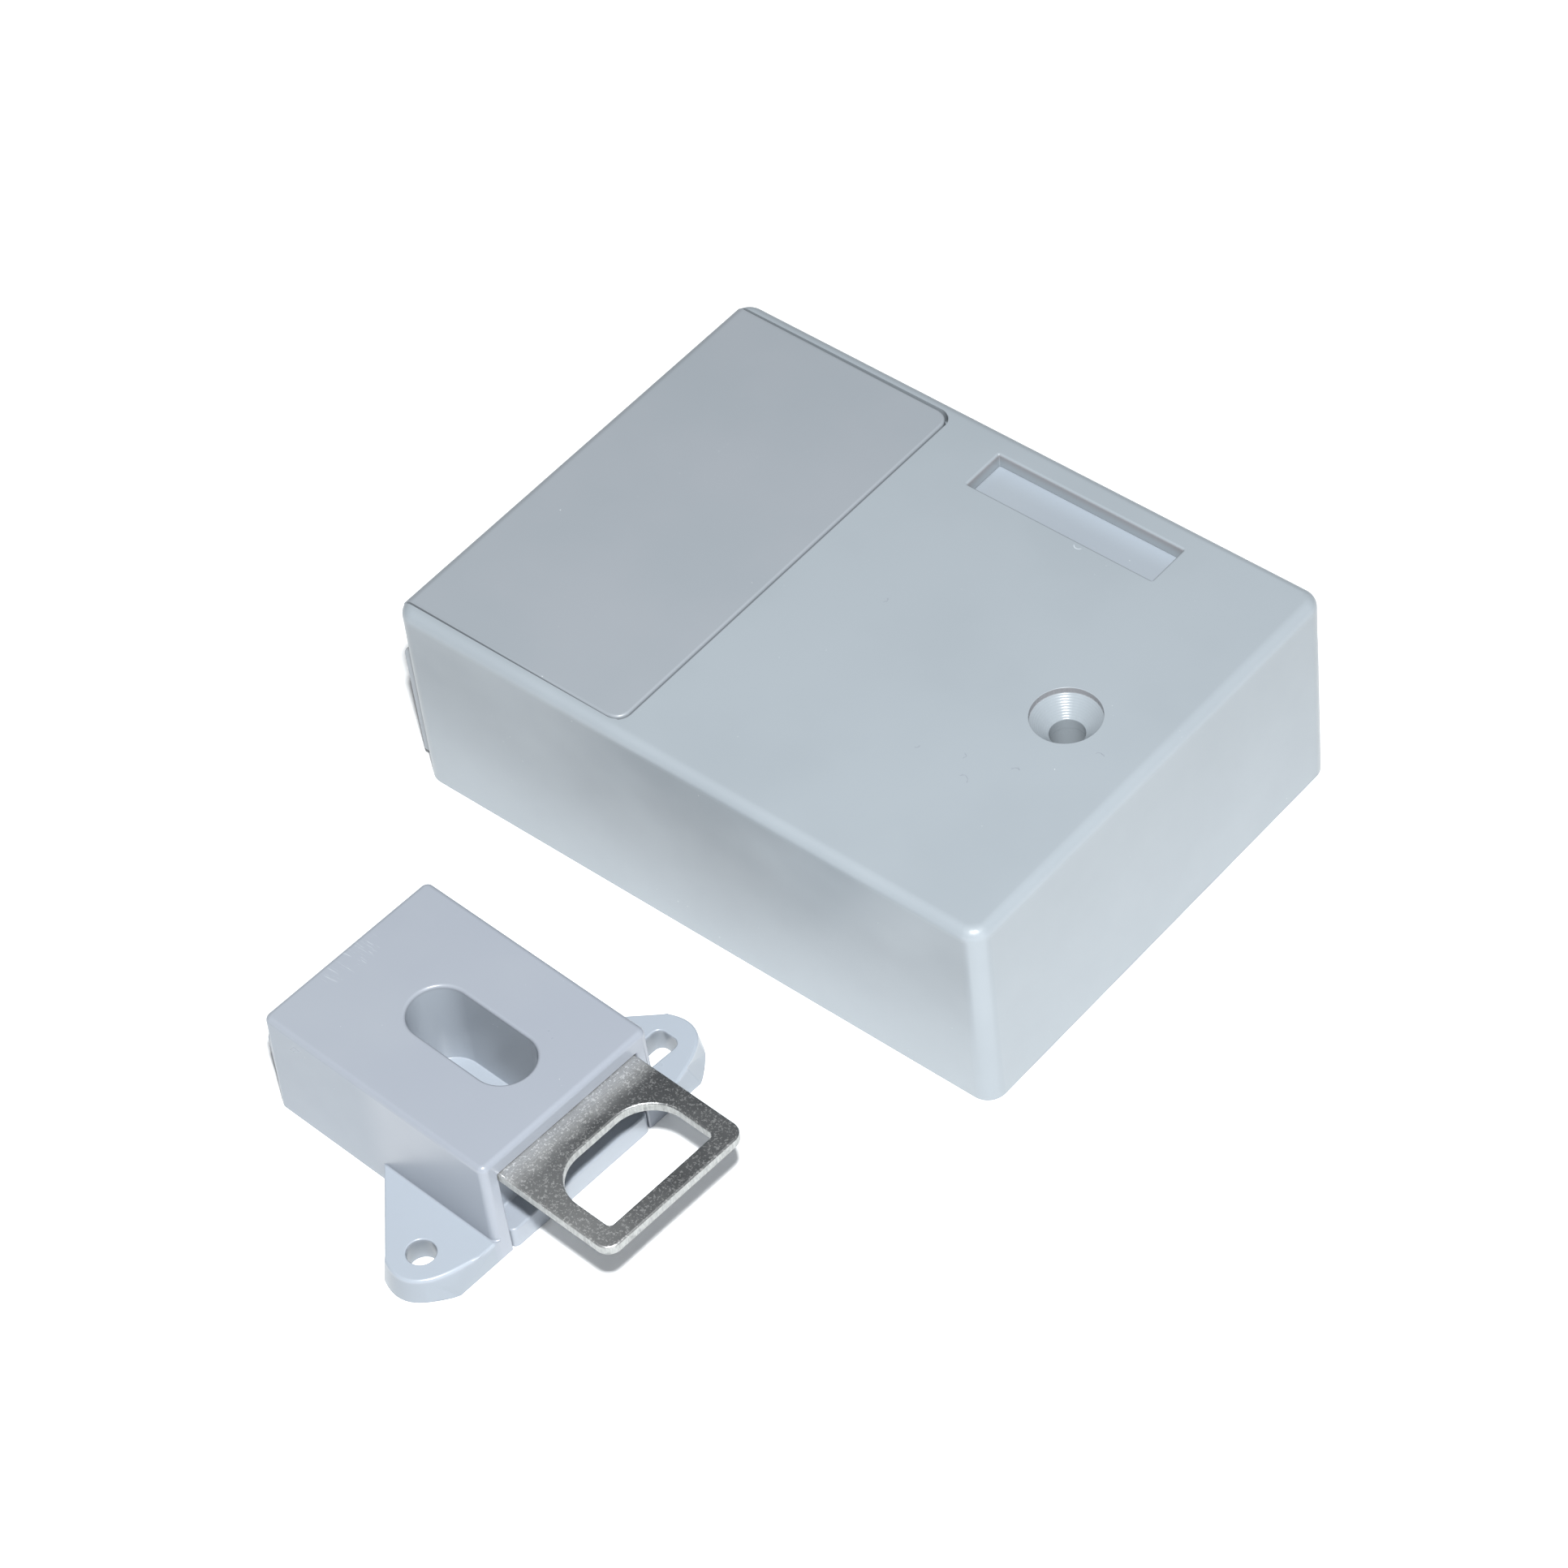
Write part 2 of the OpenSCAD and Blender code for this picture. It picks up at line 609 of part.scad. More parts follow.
module housing_shell() {
    color(case_grey) difference() {
        union() {
            difference() {
                soft_block(body_l, body_w, body_h, corner_r, top_edge_r);
                case_rooms();
            }
            for (s = [0, 1]) mirror([0, s, 0])
                box_at([battery_room_x0 - end_wall_t / 2, room_y - cover_ledge, pocket_z - cover_ledge_t],
                    [partition_x0 - battery_room_x0 + end_wall_t, cover_ledge + wall / 2, cover_ledge_t]);
            slot_shaft();
            translate([hole_x, 0, base_t])
                cylinder(d = install_head_d + 2 * hole_column_wall, h = inner_top - base_t + top_t / 2);
            base_bosses();
            for (x = pillar_xs, y = pillar_ys) translate([x, y, box_top_z])
                cylinder(d = pillar_d, h = box_boss_h + top_t / 2);
        }
        cover_pocket();
        translate([slot_x, slot_y, inner_top - over])
            linear_extrude(top_t + 2 * over) square([slot_l, slot_w], center = true);
        box_at([slot_x - shaft_l / 2, slot_y - shaft_w / 2, -over], [shaft_l, shaft_w, inner_top + over]);
        box_at([slot_x - bolt_w / 2 - bolt_window_gap, shaft_near_y - over, bolt_z - bolt_window_gap],
            [bolt_w + 2 * bolt_window_gap, shaft_wall + 2 * over, bolt_t + 2 * bolt_window_gap]);
        translate([hole_x, 0, -over]) cylinder(d = install_d, h = body_h + 2 * over);
        translate([hole_x, 0, 0]) install_seat(body_h, install_step);
        for (x = base_screw_xs, s = [-1, 1]) translate([x, s * base_screw_y, base_t - over])
            cylinder(d = base_screw_d + 2 * pin_gap, h = base_screw_l + over);
        for (x = pillar_xs, y = pillar_ys) translate([x, y, box_top_z - over])
            cylinder(d = box_screw_d + 2 * pin_gap, h = over + box_boss_h + top_t / 2);
        translate([partition_x0 - over, switch_y, button_z]) rotate([0, 90, 0])
            cylinder(d = button_d + 2 * button_hole_gap, h = partition_x1 - partition_x0 + 2 * over);
        box_at([partition_x0 - over, notch_y, base_t - over],
            [partition_x1 - partition_x0 + 2 * over, notch_w, notch_h + over]);
    }
}

module base_plate() {
    color(case_grey) difference() {
        union() {
            box_at([battery_room_x0 + cover_gap / 2, -room_y + cover_gap / 2, 0],
                [right - wall - battery_room_x0 - cover_gap, 2 * room_y - cover_gap, base_t]);
            for (p = board_screw_places()) translate([p.x, p.y, base_t / 2])
                cylinder(d = board_post_d, h = board_post_h + base_t / 2);
            for (s = [-1, 1]) translate([slot_x + s * spring_x, slot_y, base_t / 2])
                cylinder(d = spring_peg_d, h = spring_peg_h + base_t / 2);
        }
        for (x = [hole_x, battery_mid_x]) translate([x, 0, -over]) cylinder(d = install_d, h = base_t + 2 * over);
        translate([battery_mid_x, 0, 0]) install_seat(base_t + holder_floor, 0);
        for (x = base_screw_xs, s = [-1, 1]) translate([x, s * base_screw_y, -over]) {
            cylinder(d = base_screw_d + 2 * pin_gap, h = base_t + 2 * over);
            cylinder(d = base_head_d + 2 * head_gap, h = base_head_h + head_gap + over);
        }
        for (p = board_screw_places()) translate([p.x, p.y, board_z - board_screw_l + board_t])
            cylinder(d = board_screw_d + 2 * pin_gap, h = board_screw_l + over);
    }
}

module base_screws() {
    color(zinc) for (x = base_screw_xs, s = [-1, 1])
        translate([x, s * base_screw_y, base_head_h + head_gap]) rotate([180, 0, 0])
            pan_screw(base_screw_d, base_screw_l, base_head_d, base_head_h);
}

// Battery cover: a flat lid that turns down the left end, with hooks under the case's ledges

module cover_side() {
    translate([left + top_edge_r, pocket_z + cover_gap / 2]) square([cover_l - top_edge_r, cover_t]);
    translate([left, sill_h + cover_gap]) square([cover_t, body_h - top_edge_r - sill_h - cover_gap]);
    intersection() {
        translate([left + top_edge_r, body_h - top_edge_r]) circle(top_edge_r);
        translate([left, body_h - top_edge_r]) square(top_edge_r);
    }
    grip_side();
}

module grip_side() {
    z0 = sill_h + cover_gap;
    z1 = z0 + grip_h - grip_proud;
    polygon([[left + cover_t / 2, z0], [left - grip_foot_share * grip_proud, z0], [left - grip_proud, z1],
        [left, z1], [left, z1 + grip_proud], [left + cover_t / 2, z1 + grip_proud]]);
    intersection() {
        translate([left, z1]) circle(grip_proud);
        translate([left - grip_proud, z1]) square(grip_proud);
    }
}

module cover_plan() {
    x1 = left + cover_l;
    translate([left - grip_proud - over, -cover_y])
        square([cover_l + grip_proud + over - cover_corner_r, 2 * cover_y]);
    translate([x1 - 2 * cover_corner_r, -cover_y + cover_corner_r])
        square([2 * cover_corner_r, 2 * (cover_y - cover_corner_r)]);
    for (s = [-1, 1]) translate([x1 - cover_corner_r, s * (cover_y - cover_corner_r)]) circle(cover_corner_r);
}

module battery_cover() {
    color(cover_grey) {
        intersection() {
            rotate([90, 0, 0]) linear_extrude(2 * cover_y, center = true) cover_side();
            linear_extrude(body_h + over) cover_plan();
        }
        for (f = hook_place_shares, s = [0, 1]) mirror([0, s, 0])
            translate([left + f * cover_l, 0, 0]) {
                box_at([0, hook_y0, hook_top_z - hook_lip],
                    [hook_l, hook_t, pocket_z + cover_t / 2 - hook_top_z + hook_lip]);
                box_at([0, hook_y0, hook_top_z - hook_lip], [hook_l, room_y - hook_y0 - hook_gap, hook_lip]);
            }
    }
}

// Ejector: a sprung head pressed against the underside of the slot

module ejector() {
    l = shaft_l - 2 * ejector_gap;
    w = shaft_w - 2 * ejector_gap;
    color(case_grey) translate([slot_x, slot_y, 0]) difference() {
        union() {
            box_at([-l / 2, -w / 2, ejector_under_z], [l, w, ejector_t]);
            for (s = [0, 1]) mirror([s, 0, 0])
                box_at([l / 2 - skirt_t, -w / 2, ejector_under_z - skirt_h], [skirt_t, w, skirt_h + ejector_t / 2]);
        }
        for (s = [-1, 1]) translate([s * spring_x, 0, ejector_under_z - over])
            cylinder(d = spring_pocket_d, h = spring_pocket_h + over);
    }
}

spring_l = ejector_under_z + spring_pocket_h - base_t - 2 * spring_seat_gap;

module ejector_springs() {
    color(steel) for (s = [-1, 1]) translate([slot_x + s * spring_x, slot_y, base_t + spring_seat_gap])
        coil_spring(spring_d, spring_l, spring_wire, spring_turns);
}

// Height of the door switch's plunger end inside its body
door_plunger_z = base_t + door_switch_size.z + door_plunger_proud - door_plunger_l;

module door_switch() {
    color(black_plastic) difference() {
        box_at([slot_x - door_switch_size.x / 2, slot_y - door_switch_size.y / 2, base_t], door_switch_size);
        translate([slot_x, slot_y, door_plunger_z - door_press - spring_seat_gap])
            cylinder(d = door_plunger_d + 2 * bore_gap, h = door_switch_size.z);
    }
}

module door_plunger() {
    color(gear_white) translate([slot_x, slot_y, door_plunger_z]) cylinder(d = door_plunger_d, h = door_plunger_l);
}

// Battery holder, cells and contacts: two layers of two cells, wired in series

module battery_holder() {
    color(black_plastic) translate([battery_mid_x, 0, base_t]) difference() {
        union() {
            box_at([-holder_x - holder_wall, -holder_y, 0], [2 * (holder_x + holder_wall), 2 * holder_y, holder_floor]);
            for (s = [0, 1]) mirror([s, 0, 0])
                box_at([holder_x, -holder_y, 0], [holder_wall, 2 * holder_y, holder_h]);
            for (s = [0, 1]) mirror([0, s, 0])
                box_at([-holder_x - holder_wall, holder_y - holder_wall, 0],
                    [2 * (holder_x + holder_wall), holder_wall, holder_end_h]);
        }
        translate([0, 0, -base_t]) install_seat(base_t + holder_floor, 0);
        for (s = [-1, 1]) box_at([s * cell_pitch / 2 - tab_w / 2 - cell_gap / 2, cell_room_y, cell_low_z - base_t - tab_w],
            [tab_w + cell_gap, holder_y, 2 * tab_w]);
    }
}

// Column i and layer j of the cells, with the button to the far end where i + j is even
module each_cell() {
    for (i = [0, 1], j = [0, 1])
        translate([battery_mid_x + (i - 0.5) * cell_pitch, 0, cell_low_z + j * cell_pitch])
            mirror([0, (i + j) % 2, 0]) children();
}

module battery_cells() {
    color(cell_black) each_cell() translate([0, cell_room_y, 0]) rotate([90, 0, 0]) {
        cylinder(d = cell_button_d, h = cell_button_h * 1.5);
        translate([0, 0, cell_button_h]) cylinder(d = cell_d, h = cell_l - cell_button_h);
    }
}

module contact_springs() {
    color(zinc) each_cell() translate([0, -cell_room_y + contact_spring_l, 0]) rotate([90, 0, 0])
        coil_spring(contact_coil_d, contact_spring_l, contact_wire, contact_turns);
}

module contact_plates() {
    color(zinc) translate([battery_mid_x, 0, 0]) {
        for (s = [-1, 1]) {
            box_at([s * cell_pitch / 2 - plate_w / 2, -cell_room_y - plate_t, cell_low_z - plate_w / 2],
                [plate_w, plate_t, plate_w + cell_pitch]);
            box_at([s * cell_pitch / 2 - plate_w / 2, cell_room_y, cell_low_z - plate_w / 2],
                [plate_w, plate_t, plate_w]);
            box_at([s * cell_pitch / 2 - tab_w / 2, cell_room_y, cell_low_z - tab_w / 2],
                [tab_w, plate_t + holder_wall + tab_l, tab_w]);
        }
        box_at([-cell_pitch / 2 - plate_w / 2, cell_room_y, cell_low_z + cell_pitch - plate_w / 2],
            [cell_pitch + plate_w, plate_t, plate_w]);
    }
}

// Circuit board and what is on it

function board_screw_places() = let (i = board_screw_inset) [[board_x0 + i, board_y1 - i],
    [board_x1 - i, board_y1 - i], [board_x1 - i, board_y0 + i],
    [board_x0 + i, board_y0 + board_low_screw_share * board_l]];
function on_board(share) = [board_x0 + share.x * board_w, board_y0 + share.y * board_l, board_top_z];

module circuit_board() {
    color(board_green) difference() {
        box_at([board_x0, board_y0, board_z], [board_w, board_l, board_t]);
        for (p = board_screw_places()) translate([p.x, p.y, board_z - over])
            cylinder(d = board_screw_d + 2 * pin_gap, h = board_t + 2 * over);
    }
}

module board_screws() {
    color(zinc) for (p = board_screw_places()) translate([p.x, p.y, board_top_z])
        pan_screw(board_screw_d, board_screw_l, board_head_d, board_head_h);
}

module antenna_coil() {
    l = board_w - 2 * coil_margin;
    w = board_l - 2 * coil_margin;
    color(copper) translate([board_x0 + board_w / 2, board_y0 + board_l / 2, base_t]) linear_extrude(coil_h)
        difference() {
            round_rect(l, w, coil_r);
            round_rect(l - 2 * coil_band, w - 2 * coil_band, coil_r - coil_band);
        }
}

module chip_at(share, size) {
    p = on_board(share);
    color(black_plastic) box_at([p.x - size.x / 2, p.y - size.y / 2, p.z], size);
}

module controller_chip() {
    chip_at(chip_place_share, chip_size);
}

module reader_chip() {
    chip_at(reader_place_share, reader_size);
}

module buzzer() {
    color(black_plastic) translate(on_board(buzzer_place_share)) difference() {
        cylinder(d = buzzer_d, h = buzzer_h);
        translate([0, 0, buzzer_h / 2]) cylinder(d = buzzer_hole_d, h = buzzer_h);
    }
}

module capacitor() {
    color(cell_black) translate(on_board(capacitor_place_share)) cylinder(d = capacitor_d, h = capacitor_h);
}

// Open-topped two-pin socket
module lead_socket(x, y) {
    w = socket_size.x / 6;
    color(gear_white) translate([x, y, board_top_z]) difference() {
        box_at([-socket_size.x / 2, -socket_size.y / 2, 0], socket_size);
        box_at([-socket_size.x / 2 + w, -socket_size.y / 2 + w, w], socket_size - [2 * w, 2 * w, 0]);
    }
}

module battery_socket() {
    lead_socket(board_x0 + battery_socket_side, holder_y - battery_socket_back);
}

module motor_socket() {
    lead_socket(motor_x + motor_socket_side, motor_y - motor_socket_back);
}

module set_switch() {
    color(black_plastic) difference() {
        box_at([switch_x0, switch_y - switch_size.y / 2, board_top_z], switch_size);
        translate([switch_x0 - over, switch_y, button_z]) rotate([0, 90, 0])
            cylinder(d = button_d + 2 * bore_gap, h = over + switch_size.x * 0.7);
    }
}

module set_button() {
    x0 = partition_x0 - button_proud;
    x1 = switch_x0 + switch_size.x * 0.7 - button_press - spring_seat_gap;
    color(gear_white) translate([x0, switch_y, button_z]) rotate([0, 90, 0]) cylinder(d = button_d, h = x1 - x0);
}

// Gearbox: a frame hung from the case's top, closed below by a cover that carries the bolt and the motor

module gearbox_frame() {
    color(inner_grey) difference() {
        union() {
            box_at([box_x0, box_y0, box_under_z], [box_x1 - box_x0, box_y1 - box_y0, box_plate_t]);
            for (x = pillar_xs, y = pillar_ys) translate([x, y, deck_z + deck_t])
                cylinder(d = pillar_d, h = box_under_z - deck_z - deck_t + box_plate_t / 2);
            box_at([slot_x - bolt_w / 2 + pillar_d / 2, pillar_ys[1] - pillar_d, bolt_z + bolt_t + run_gap],
                [bolt_w - pillar_d, pillar_d, box_under_z - bolt_z - bolt_t - run_gap + box_plate_t / 2]);
        }
        for (x = pillar_xs, y = pillar_ys) translate([x, y, deck_z]) cylinder(d = box_screw_d + 2 * pin_gap, h = body_h);
        for (y = [drive_y, second_y]) translate([drive_x, y, box_under_z - over])
            cylinder(d = axle_d + 2 * pin_gap, h = over + axle_seat);
        translate([motor_x, motor_y, box_under_z - over])
            cylinder(d = motor_shaft_d + 2 * still_gap, h = box_plate_t + 2 * over);
    }
}

module gearbox_cover() {
    color(inner_grey) difference() {
        union() {
            box_at([box_x0, box_y0, deck_z], [box_x1 - box_x0, box_y1 - box_y0, deck_t]);
            box_at([slot_x + bolt_w / 2 + run_gap, box_y0 + (box_y1 - box_y0) / 3, deck_z + deck_t / 2],
                [rail_t, (box_y1 - box_y0) * 2 / 3, rail_h + deck_t / 2]);
            box_at([slot_x - bolt_w / 2 - run_gap - rail_t, rack_end_y, deck_z + deck_t / 2],
                [rail_t, box_y1 - rack_end_y, rail_h + deck_t / 2]);
            translate([motor_x, motor_y, motor_base_z - sleeve_floor])
                cylinder(d = motor_d + 2 * sleeve_wall, h = deck_z + deck_t + sleeve_h - motor_base_z);
        }
        for (x = pillar_xs, y = pillar_ys) translate([x, y, deck_z - over])
            cylinder(d = box_screw_d + 2 * pin_gap, h = deck_t + 2 * over);
        for (y = [drive_y, second_y]) translate([drive_x, y, deck_z + deck_t - axle_seat])
            cylinder(d = axle_d + 2 * pin_gap, h = axle_seat + over);
        translate([motor_x, motor_y, motor_base_z]) cylinder(d = motor_d + 2 * motor_gap, h = body_h);
        translate([motor_x, motor_y, motor_base_z - sleeve_floor - over])
            cylinder(d = motor_d - 4 * sleeve_wall, h = sleeve_floor + 2 * over);
    }
}

module gearbox_screws() {
    color(zinc) for (x = pillar_xs, y = pillar_ys) translate([x, y, deck_z]) rotate([180, 0, 0])
        pan_screw(box_screw_d, box_top_z + box_boss_h + top_t / 3 - deck_z, box_head_d, box_head_h);
}

module gear_axles() {
    z0 = deck_z + deck_t - axle_seat;
    color(steel) for (y = [drive_y, second_y]) translate([drive_x, y, z0])
        cylinder(d = axle_d, h = box_under_z + axle_seat - z0);
}

module motor_can() {
    color(zinc) translate([motor_x, motor_y, motor_base_z]) difference() {
        union() {
            cylinder(d = motor_d, h = motor_l);
            translate([0, 0, motor_l / 2]) cylinder(d = motor_nose_d, h = motor_l / 2 + motor_nose_h);
        }
        translate([0, 0, motor_l / 2]) cylinder(d = motor_shaft_d + 2 * bore_gap, h = motor_l);
    }
}

// Motor shaft with its pinion
module motor_pinion() {
    z0 = motor_base_z + motor_l / 2 + level_gap;
    color(gear_white) translate([motor_x, motor_y, 0]) {
        translate([0, 0, z0]) cylinder(d = motor_shaft_d, h = box_under_z + box_plate_t / 2 - z0);
        translate([0, 0, high_gear_z]) gear(pinion_teeth, train_module, high_gear_t, motor_pinion_turn);
    }
}

module gear_bore() {
    translate([0, 0, deck_z]) cylinder(d = axle_d + 2 * bore_gap, h = body_h);
}

module gear_hub() {
    z0 = deck_z + deck_t + level_gap / 2;
    translate([0, 0, z0]) cylinder(d = gear_hub_d, h = box_under_z - level_gap / 2 - z0);
}

module reduction_gear() {
    color(gear_white) translate([drive_x, second_y, 0]) difference() {
        union() {
            gear_hub();
            translate([0, 0, low_gear_z]) gear(pinion_teeth, train_module, low_gear_t, second_pinion_turn);
            translate([0, 0, high_gear_z]) gear(wheel_teeth, train_module, high_gear_t, second_wheel_turn);
        }
        gear_bore();
    }
}

module drive_gear() {
    color(gear_white) translate([drive_x, drive_y, 0]) difference() {
        union() {
            gear_hub();
            translate([0, 0, bolt_z + level_gap / 2])
                gear(pinion_teeth, rack_module, bolt_t - level_gap / 2, drive_turn);
            translate([0, 0, low_gear_z]) gear(wheel_teeth, train_module, low_gear_t, drive_turn);
        }
        gear_bore();
    }
}

// Latch bolt: a flat steel bar with a rack along its left edge and a bevelled tip

module rack_tooth() {
    a = rack_add_share * rack_module;
    d = rack_ded_share * rack_module;
    half = rack_pitch * (1 - backlash_share / PI) / 4;
    polygon([[over, half + d * tan(tooth_angle)], [0, half + d * tan(tooth_angle)],
        [-a - d, half - a * tan(tooth_angle)], [-a - d, -half + a * tan(tooth_angle)],
        [0, -half - d * tan(tooth_angle)], [over, -half - d * tan(tooth_angle)]]);
}

module latch_bolt() {
    x0 = slot_x - bolt_w / 2;
    c = bolt_chamfer;
    color(steel) translate([0, 0, bolt_z]) difference() {
        linear_extrude(bolt_t) {
            polygon([[x0, bolt_back_y], [x0 + bolt_w, bolt_back_y], [x0 + bolt_w, bolt_tip_y - c],
                [x0 + bolt_w - c, bolt_tip_y], [x0 + c, bolt_tip_y], [x0, bolt_tip_y - c]]);
            for (k = [0:rack_teeth - 1])
                translate([x0, drive_y + rack_pitch * (1.5 - k)]) rack_tooth();
        }
    }
}

// Leads

module battery_leads() {
    translate([battery_mid_x, holder_y, cell_low_z]) {
        color("firebrick") tube_along(battery_lead_red, lead_d, lead_sides, [0, 0, 1]);
        color("black") tube_along(battery_lead_black, lead_d, lead_sides, [0, 0, 1]);
    }
}

module motor_leads() {
    translate([motor_x, motor_y, motor_base_z]) {
        color("firebrick") tube_along(motor_lead_red, lead_d, lead_sides, [1, 1, 0]);
        color("black") tube_along(motor_lead_black, lead_d, lead_sides, [1, 1, 0]);
    }
}

// Keeper

module at_keeper() {
    translate([keeper_x, keeper_y, 0]) rotate(keeper_turn) translate([0, -keeper_mid, 0]) children();
}

// Point where a line from p touches the circle at c of radius r, on side s
function touch(p, c, r, s) = let (v = c - p, d = norm(v), a = atan2(v.y, v.x) + s * asin(r / d))
    p + sqrt(d * d - r * r) * [cos(a), sin(a)];

// Near ear seen from above, with its root inside the near wall
module ear_plan() {
    tip = [ear_tip_x, -ear_tip_out];
    back = [ear_root_x, 0];
    bevel = [keeper_l - ear_bevel_x, -ear_bevel_out];
    polygon([[ear_root_x, keeper_wall / 2], back, touch(back, tip, ear_tip_r, -1), touch(bevel, tip, ear_tip_r, 1),
        bevel, [keeper_l, -ear_front_out], [keeper_l, keeper_wall / 2]]);
    translate(tip) circle(ear_tip_r);
}

module keeper_housing() {
    color(case_grey) at_keeper() difference() {
        union() {
            difference() {
                translate([keeper_l / 2, keeper_mid, 0])
                    soft_block(keeper_l, keeper_w, keeper_h, keeper_corner_r, keeper_edge_r);
                box_at([-over, keeper_wall, -over],
                    [keeper_l + 2 * over, keeper_w - 2 * keeper_wall, room_z + over]);
            }
            linear_extrude(ear_t) ear_plan();
            translate([0, keeper_w, 0]) mirror([0, 1, 0]) linear_extrude(ear_t) ear_plan();
            translate([well_x, keeper_mid, 0]) linear_extrude(room_z + keeper_top_t / 2)
                oblong(well_l + 2 * well_tube_wall, well_w + 2 * well_tube_wall);
            for (s = [-1, 1]) translate([keeper_screw_x, keeper_mid + s * keeper_screw_spread / 2, keeper_screw_z()])
                cylinder(d = keeper_column_d, h = room_z - keeper_screw_z() + keeper_top_t / 2);
        }
        translate([well_x, keeper_mid, well_floor]) linear_extrude(keeper_h) oblong(well_l, well_w);
        translate([well_x, keeper_mid, -over]) linear_extrude(keeper_h) oblong(adjust_slot_l, adjust_slot_w);
        translate([ear_tip_x, -ear_hole_out, -over]) cylinder(d = ear_hole_d, h = ear_t + 2 * over);
        translate([ear_tip_x, keeper_w + ear_slot_out, -over]) linear_extrude(ear_t + 2 * over)
            round_rect(ear_hole_d, ear_slot_l, ear_slot_r);
        for (s = [-1, 1]) translate([keeper_screw_x, keeper_mid + s * keeper_screw_spread / 2, keeper_screw_z() - over])
            cylinder(d = keeper_screw_d + 2 * pin_gap, h = keeper_screw_l + over);
    }
}

// Height at which the keeper's screw columns meet its insert
function keeper_screw_z() = lip_h + insert_gap;

module keeper_base() {
    w = keeper_w - 2 * keeper_wall - 2 * insert_gap;
    color(cover_grey) at_keeper() difference() {
        union() {
            box_at([0, keeper_mid - w / 2, 0], [keeper_l - lip_back, w, tongue_z]);
            translate([(keeper_l + lip_proud) / 2, keeper_mid, 0]) linear_extrude(lip_h)
                round_rect(keeper_l + lip_proud, w, lip_r);
            translate([-back_plate_t, keeper_mid, back_plate_h / 2]) rotate([0, 90, 0])
                linear_extrude(back_plate_t) round_rect(back_plate_h, keeper_w - 2 * back_plate_inset, back_plate_r);
        }
        translate([well_x, keeper_mid, -over]) linear_extrude(keeper_h)
            oblong(well_l + 2 * (well_tube_wall + well_tube_gap), well_w + 2 * (well_tube_wall + well_tube_gap));
        for (s = [-1, 1]) translate([keeper_screw_x, keeper_mid + s * keeper_screw_spread / 2, 0]) {
            translate([0, 0, keeper_screw_z() - insert_gap]) cylinder(d = keeper_column_d + 2 * insert_gap, h = keeper_h);
            translate([0, 0, -over]) cylinder(d = keeper_screw_d + 2 * pin_gap, h = keeper_h);
            translate([0, 0, -over]) cylinder(d = keeper_head_d + 2 * head_gap, h = keeper_head_h + head_gap + over);
        }
        for (s = [0, 1]) translate([0, keeper_mid, 0]) mirror([0, s, 0])
            box_at([well_x - well_l / 4, well_w / 2 + 2 * well_tube_wall + insert_pocket_inset / 2, -over],
                [well_l / 2, w / 2 - well_w / 2 - 2 * well_tube_wall - insert_pocket_inset, insert_pocket_h + over]);
    }
}

module tongue_plan() {
    l = keeper_l + tongue_reach - tongue_back_x;
    eye_x1 = keeper_l + tongue_reach - eye_inset;
    difference() {
        union() {
            translate([tongue_back_x, keeper_mid - tongue_w / 2]) square([l - tongue_corner_r, tongue_w]);
            translate([tongue_back_x + l / 2, keeper_mid]) round_rect(l, tongue_w, tongue_corner_r);
        }
        translate([well_x, keeper_mid])
            oblong(well_l + 2 * (well_tube_wall + well_tube_gap), well_w + 2 * (well_tube_wall + well_tube_gap));
        translate([eye_x1 - eye_l, keeper_mid]) {
            translate([0, -eye_w / 2 + eye_big_r]) square([eye_l - eye_small_r, eye_w - 2 * eye_big_r]);
            translate([eye_big_r, -eye_w / 2]) square([eye_l - eye_big_r - eye_small_r, eye_w]);
            translate([eye_l - 2 * eye_small_r, -eye_w / 2 + eye_small_r])
                square([2 * eye_small_r, eye_w - 2 * eye_small_r]);
            for (s = [-1, 1]) {
                translate([eye_big_r, s * (eye_w / 2 - eye_big_r)]) circle(eye_big_r);
                translate([eye_l - eye_small_r, s * (eye_w / 2 - eye_small_r)]) circle(eye_small_r);
            }
        }
    }
}

module steel_tongue() {
    color(steel) at_keeper() translate([0, 0, tongue_z]) linear_extrude(tongue_t) tongue_plan();
}

module keeper_screws() {
    color(zinc) at_keeper() for (s = [-1, 1])
        translate([keeper_screw_x, keeper_mid + s * keeper_screw_spread / 2, keeper_head_h + head_gap])
            rotate([180, 0, 0]) pan_screw(keeper_screw_d, keeper_screw_l, keeper_head_d, keeper_head_h);
}

echo(ejector_spring_least_gap = least_gap(coil_points(spring_d, spring_l, spring_wire, spring_turns), spring_wire));
echo(contact_spring_least_gap =
    least_gap(coil_points(contact_coil_d, contact_spring_l, contact_wire, contact_turns), contact_wire));

housing_shell();
battery_cover();
ejector();
base_plate();
base_screws();
battery_holder();
battery_cells();
contact_springs();
contact_plates();
circuit_board();
board_screws();
antenna_coil();
controller_chip();
reader_chip();
buzzer();
capacitor();
battery_socket();
motor_socket();
set_switch();
set_button();
door_switch();
door_plunger();
gearbox_frame();
gearbox_cover();
gearbox_screws();
gear_axles();
motor_can();
motor_pinion();
reduction_gear();
drive_gear();
latch_bolt();
ejector_springs();
battery_leads();
motor_leads();
keeper_housing();
keeper_base();
steel_tongue();
keeper_screws();
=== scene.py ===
"""Looks of the electronic cabinet lock, a battery lock unit and its keeper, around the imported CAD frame."""

import json
from functools import reduce
from math import cos, pi, radians, sin

import bmesh
import bpy
import numpy as np
from mathutils import Matrix, Vector

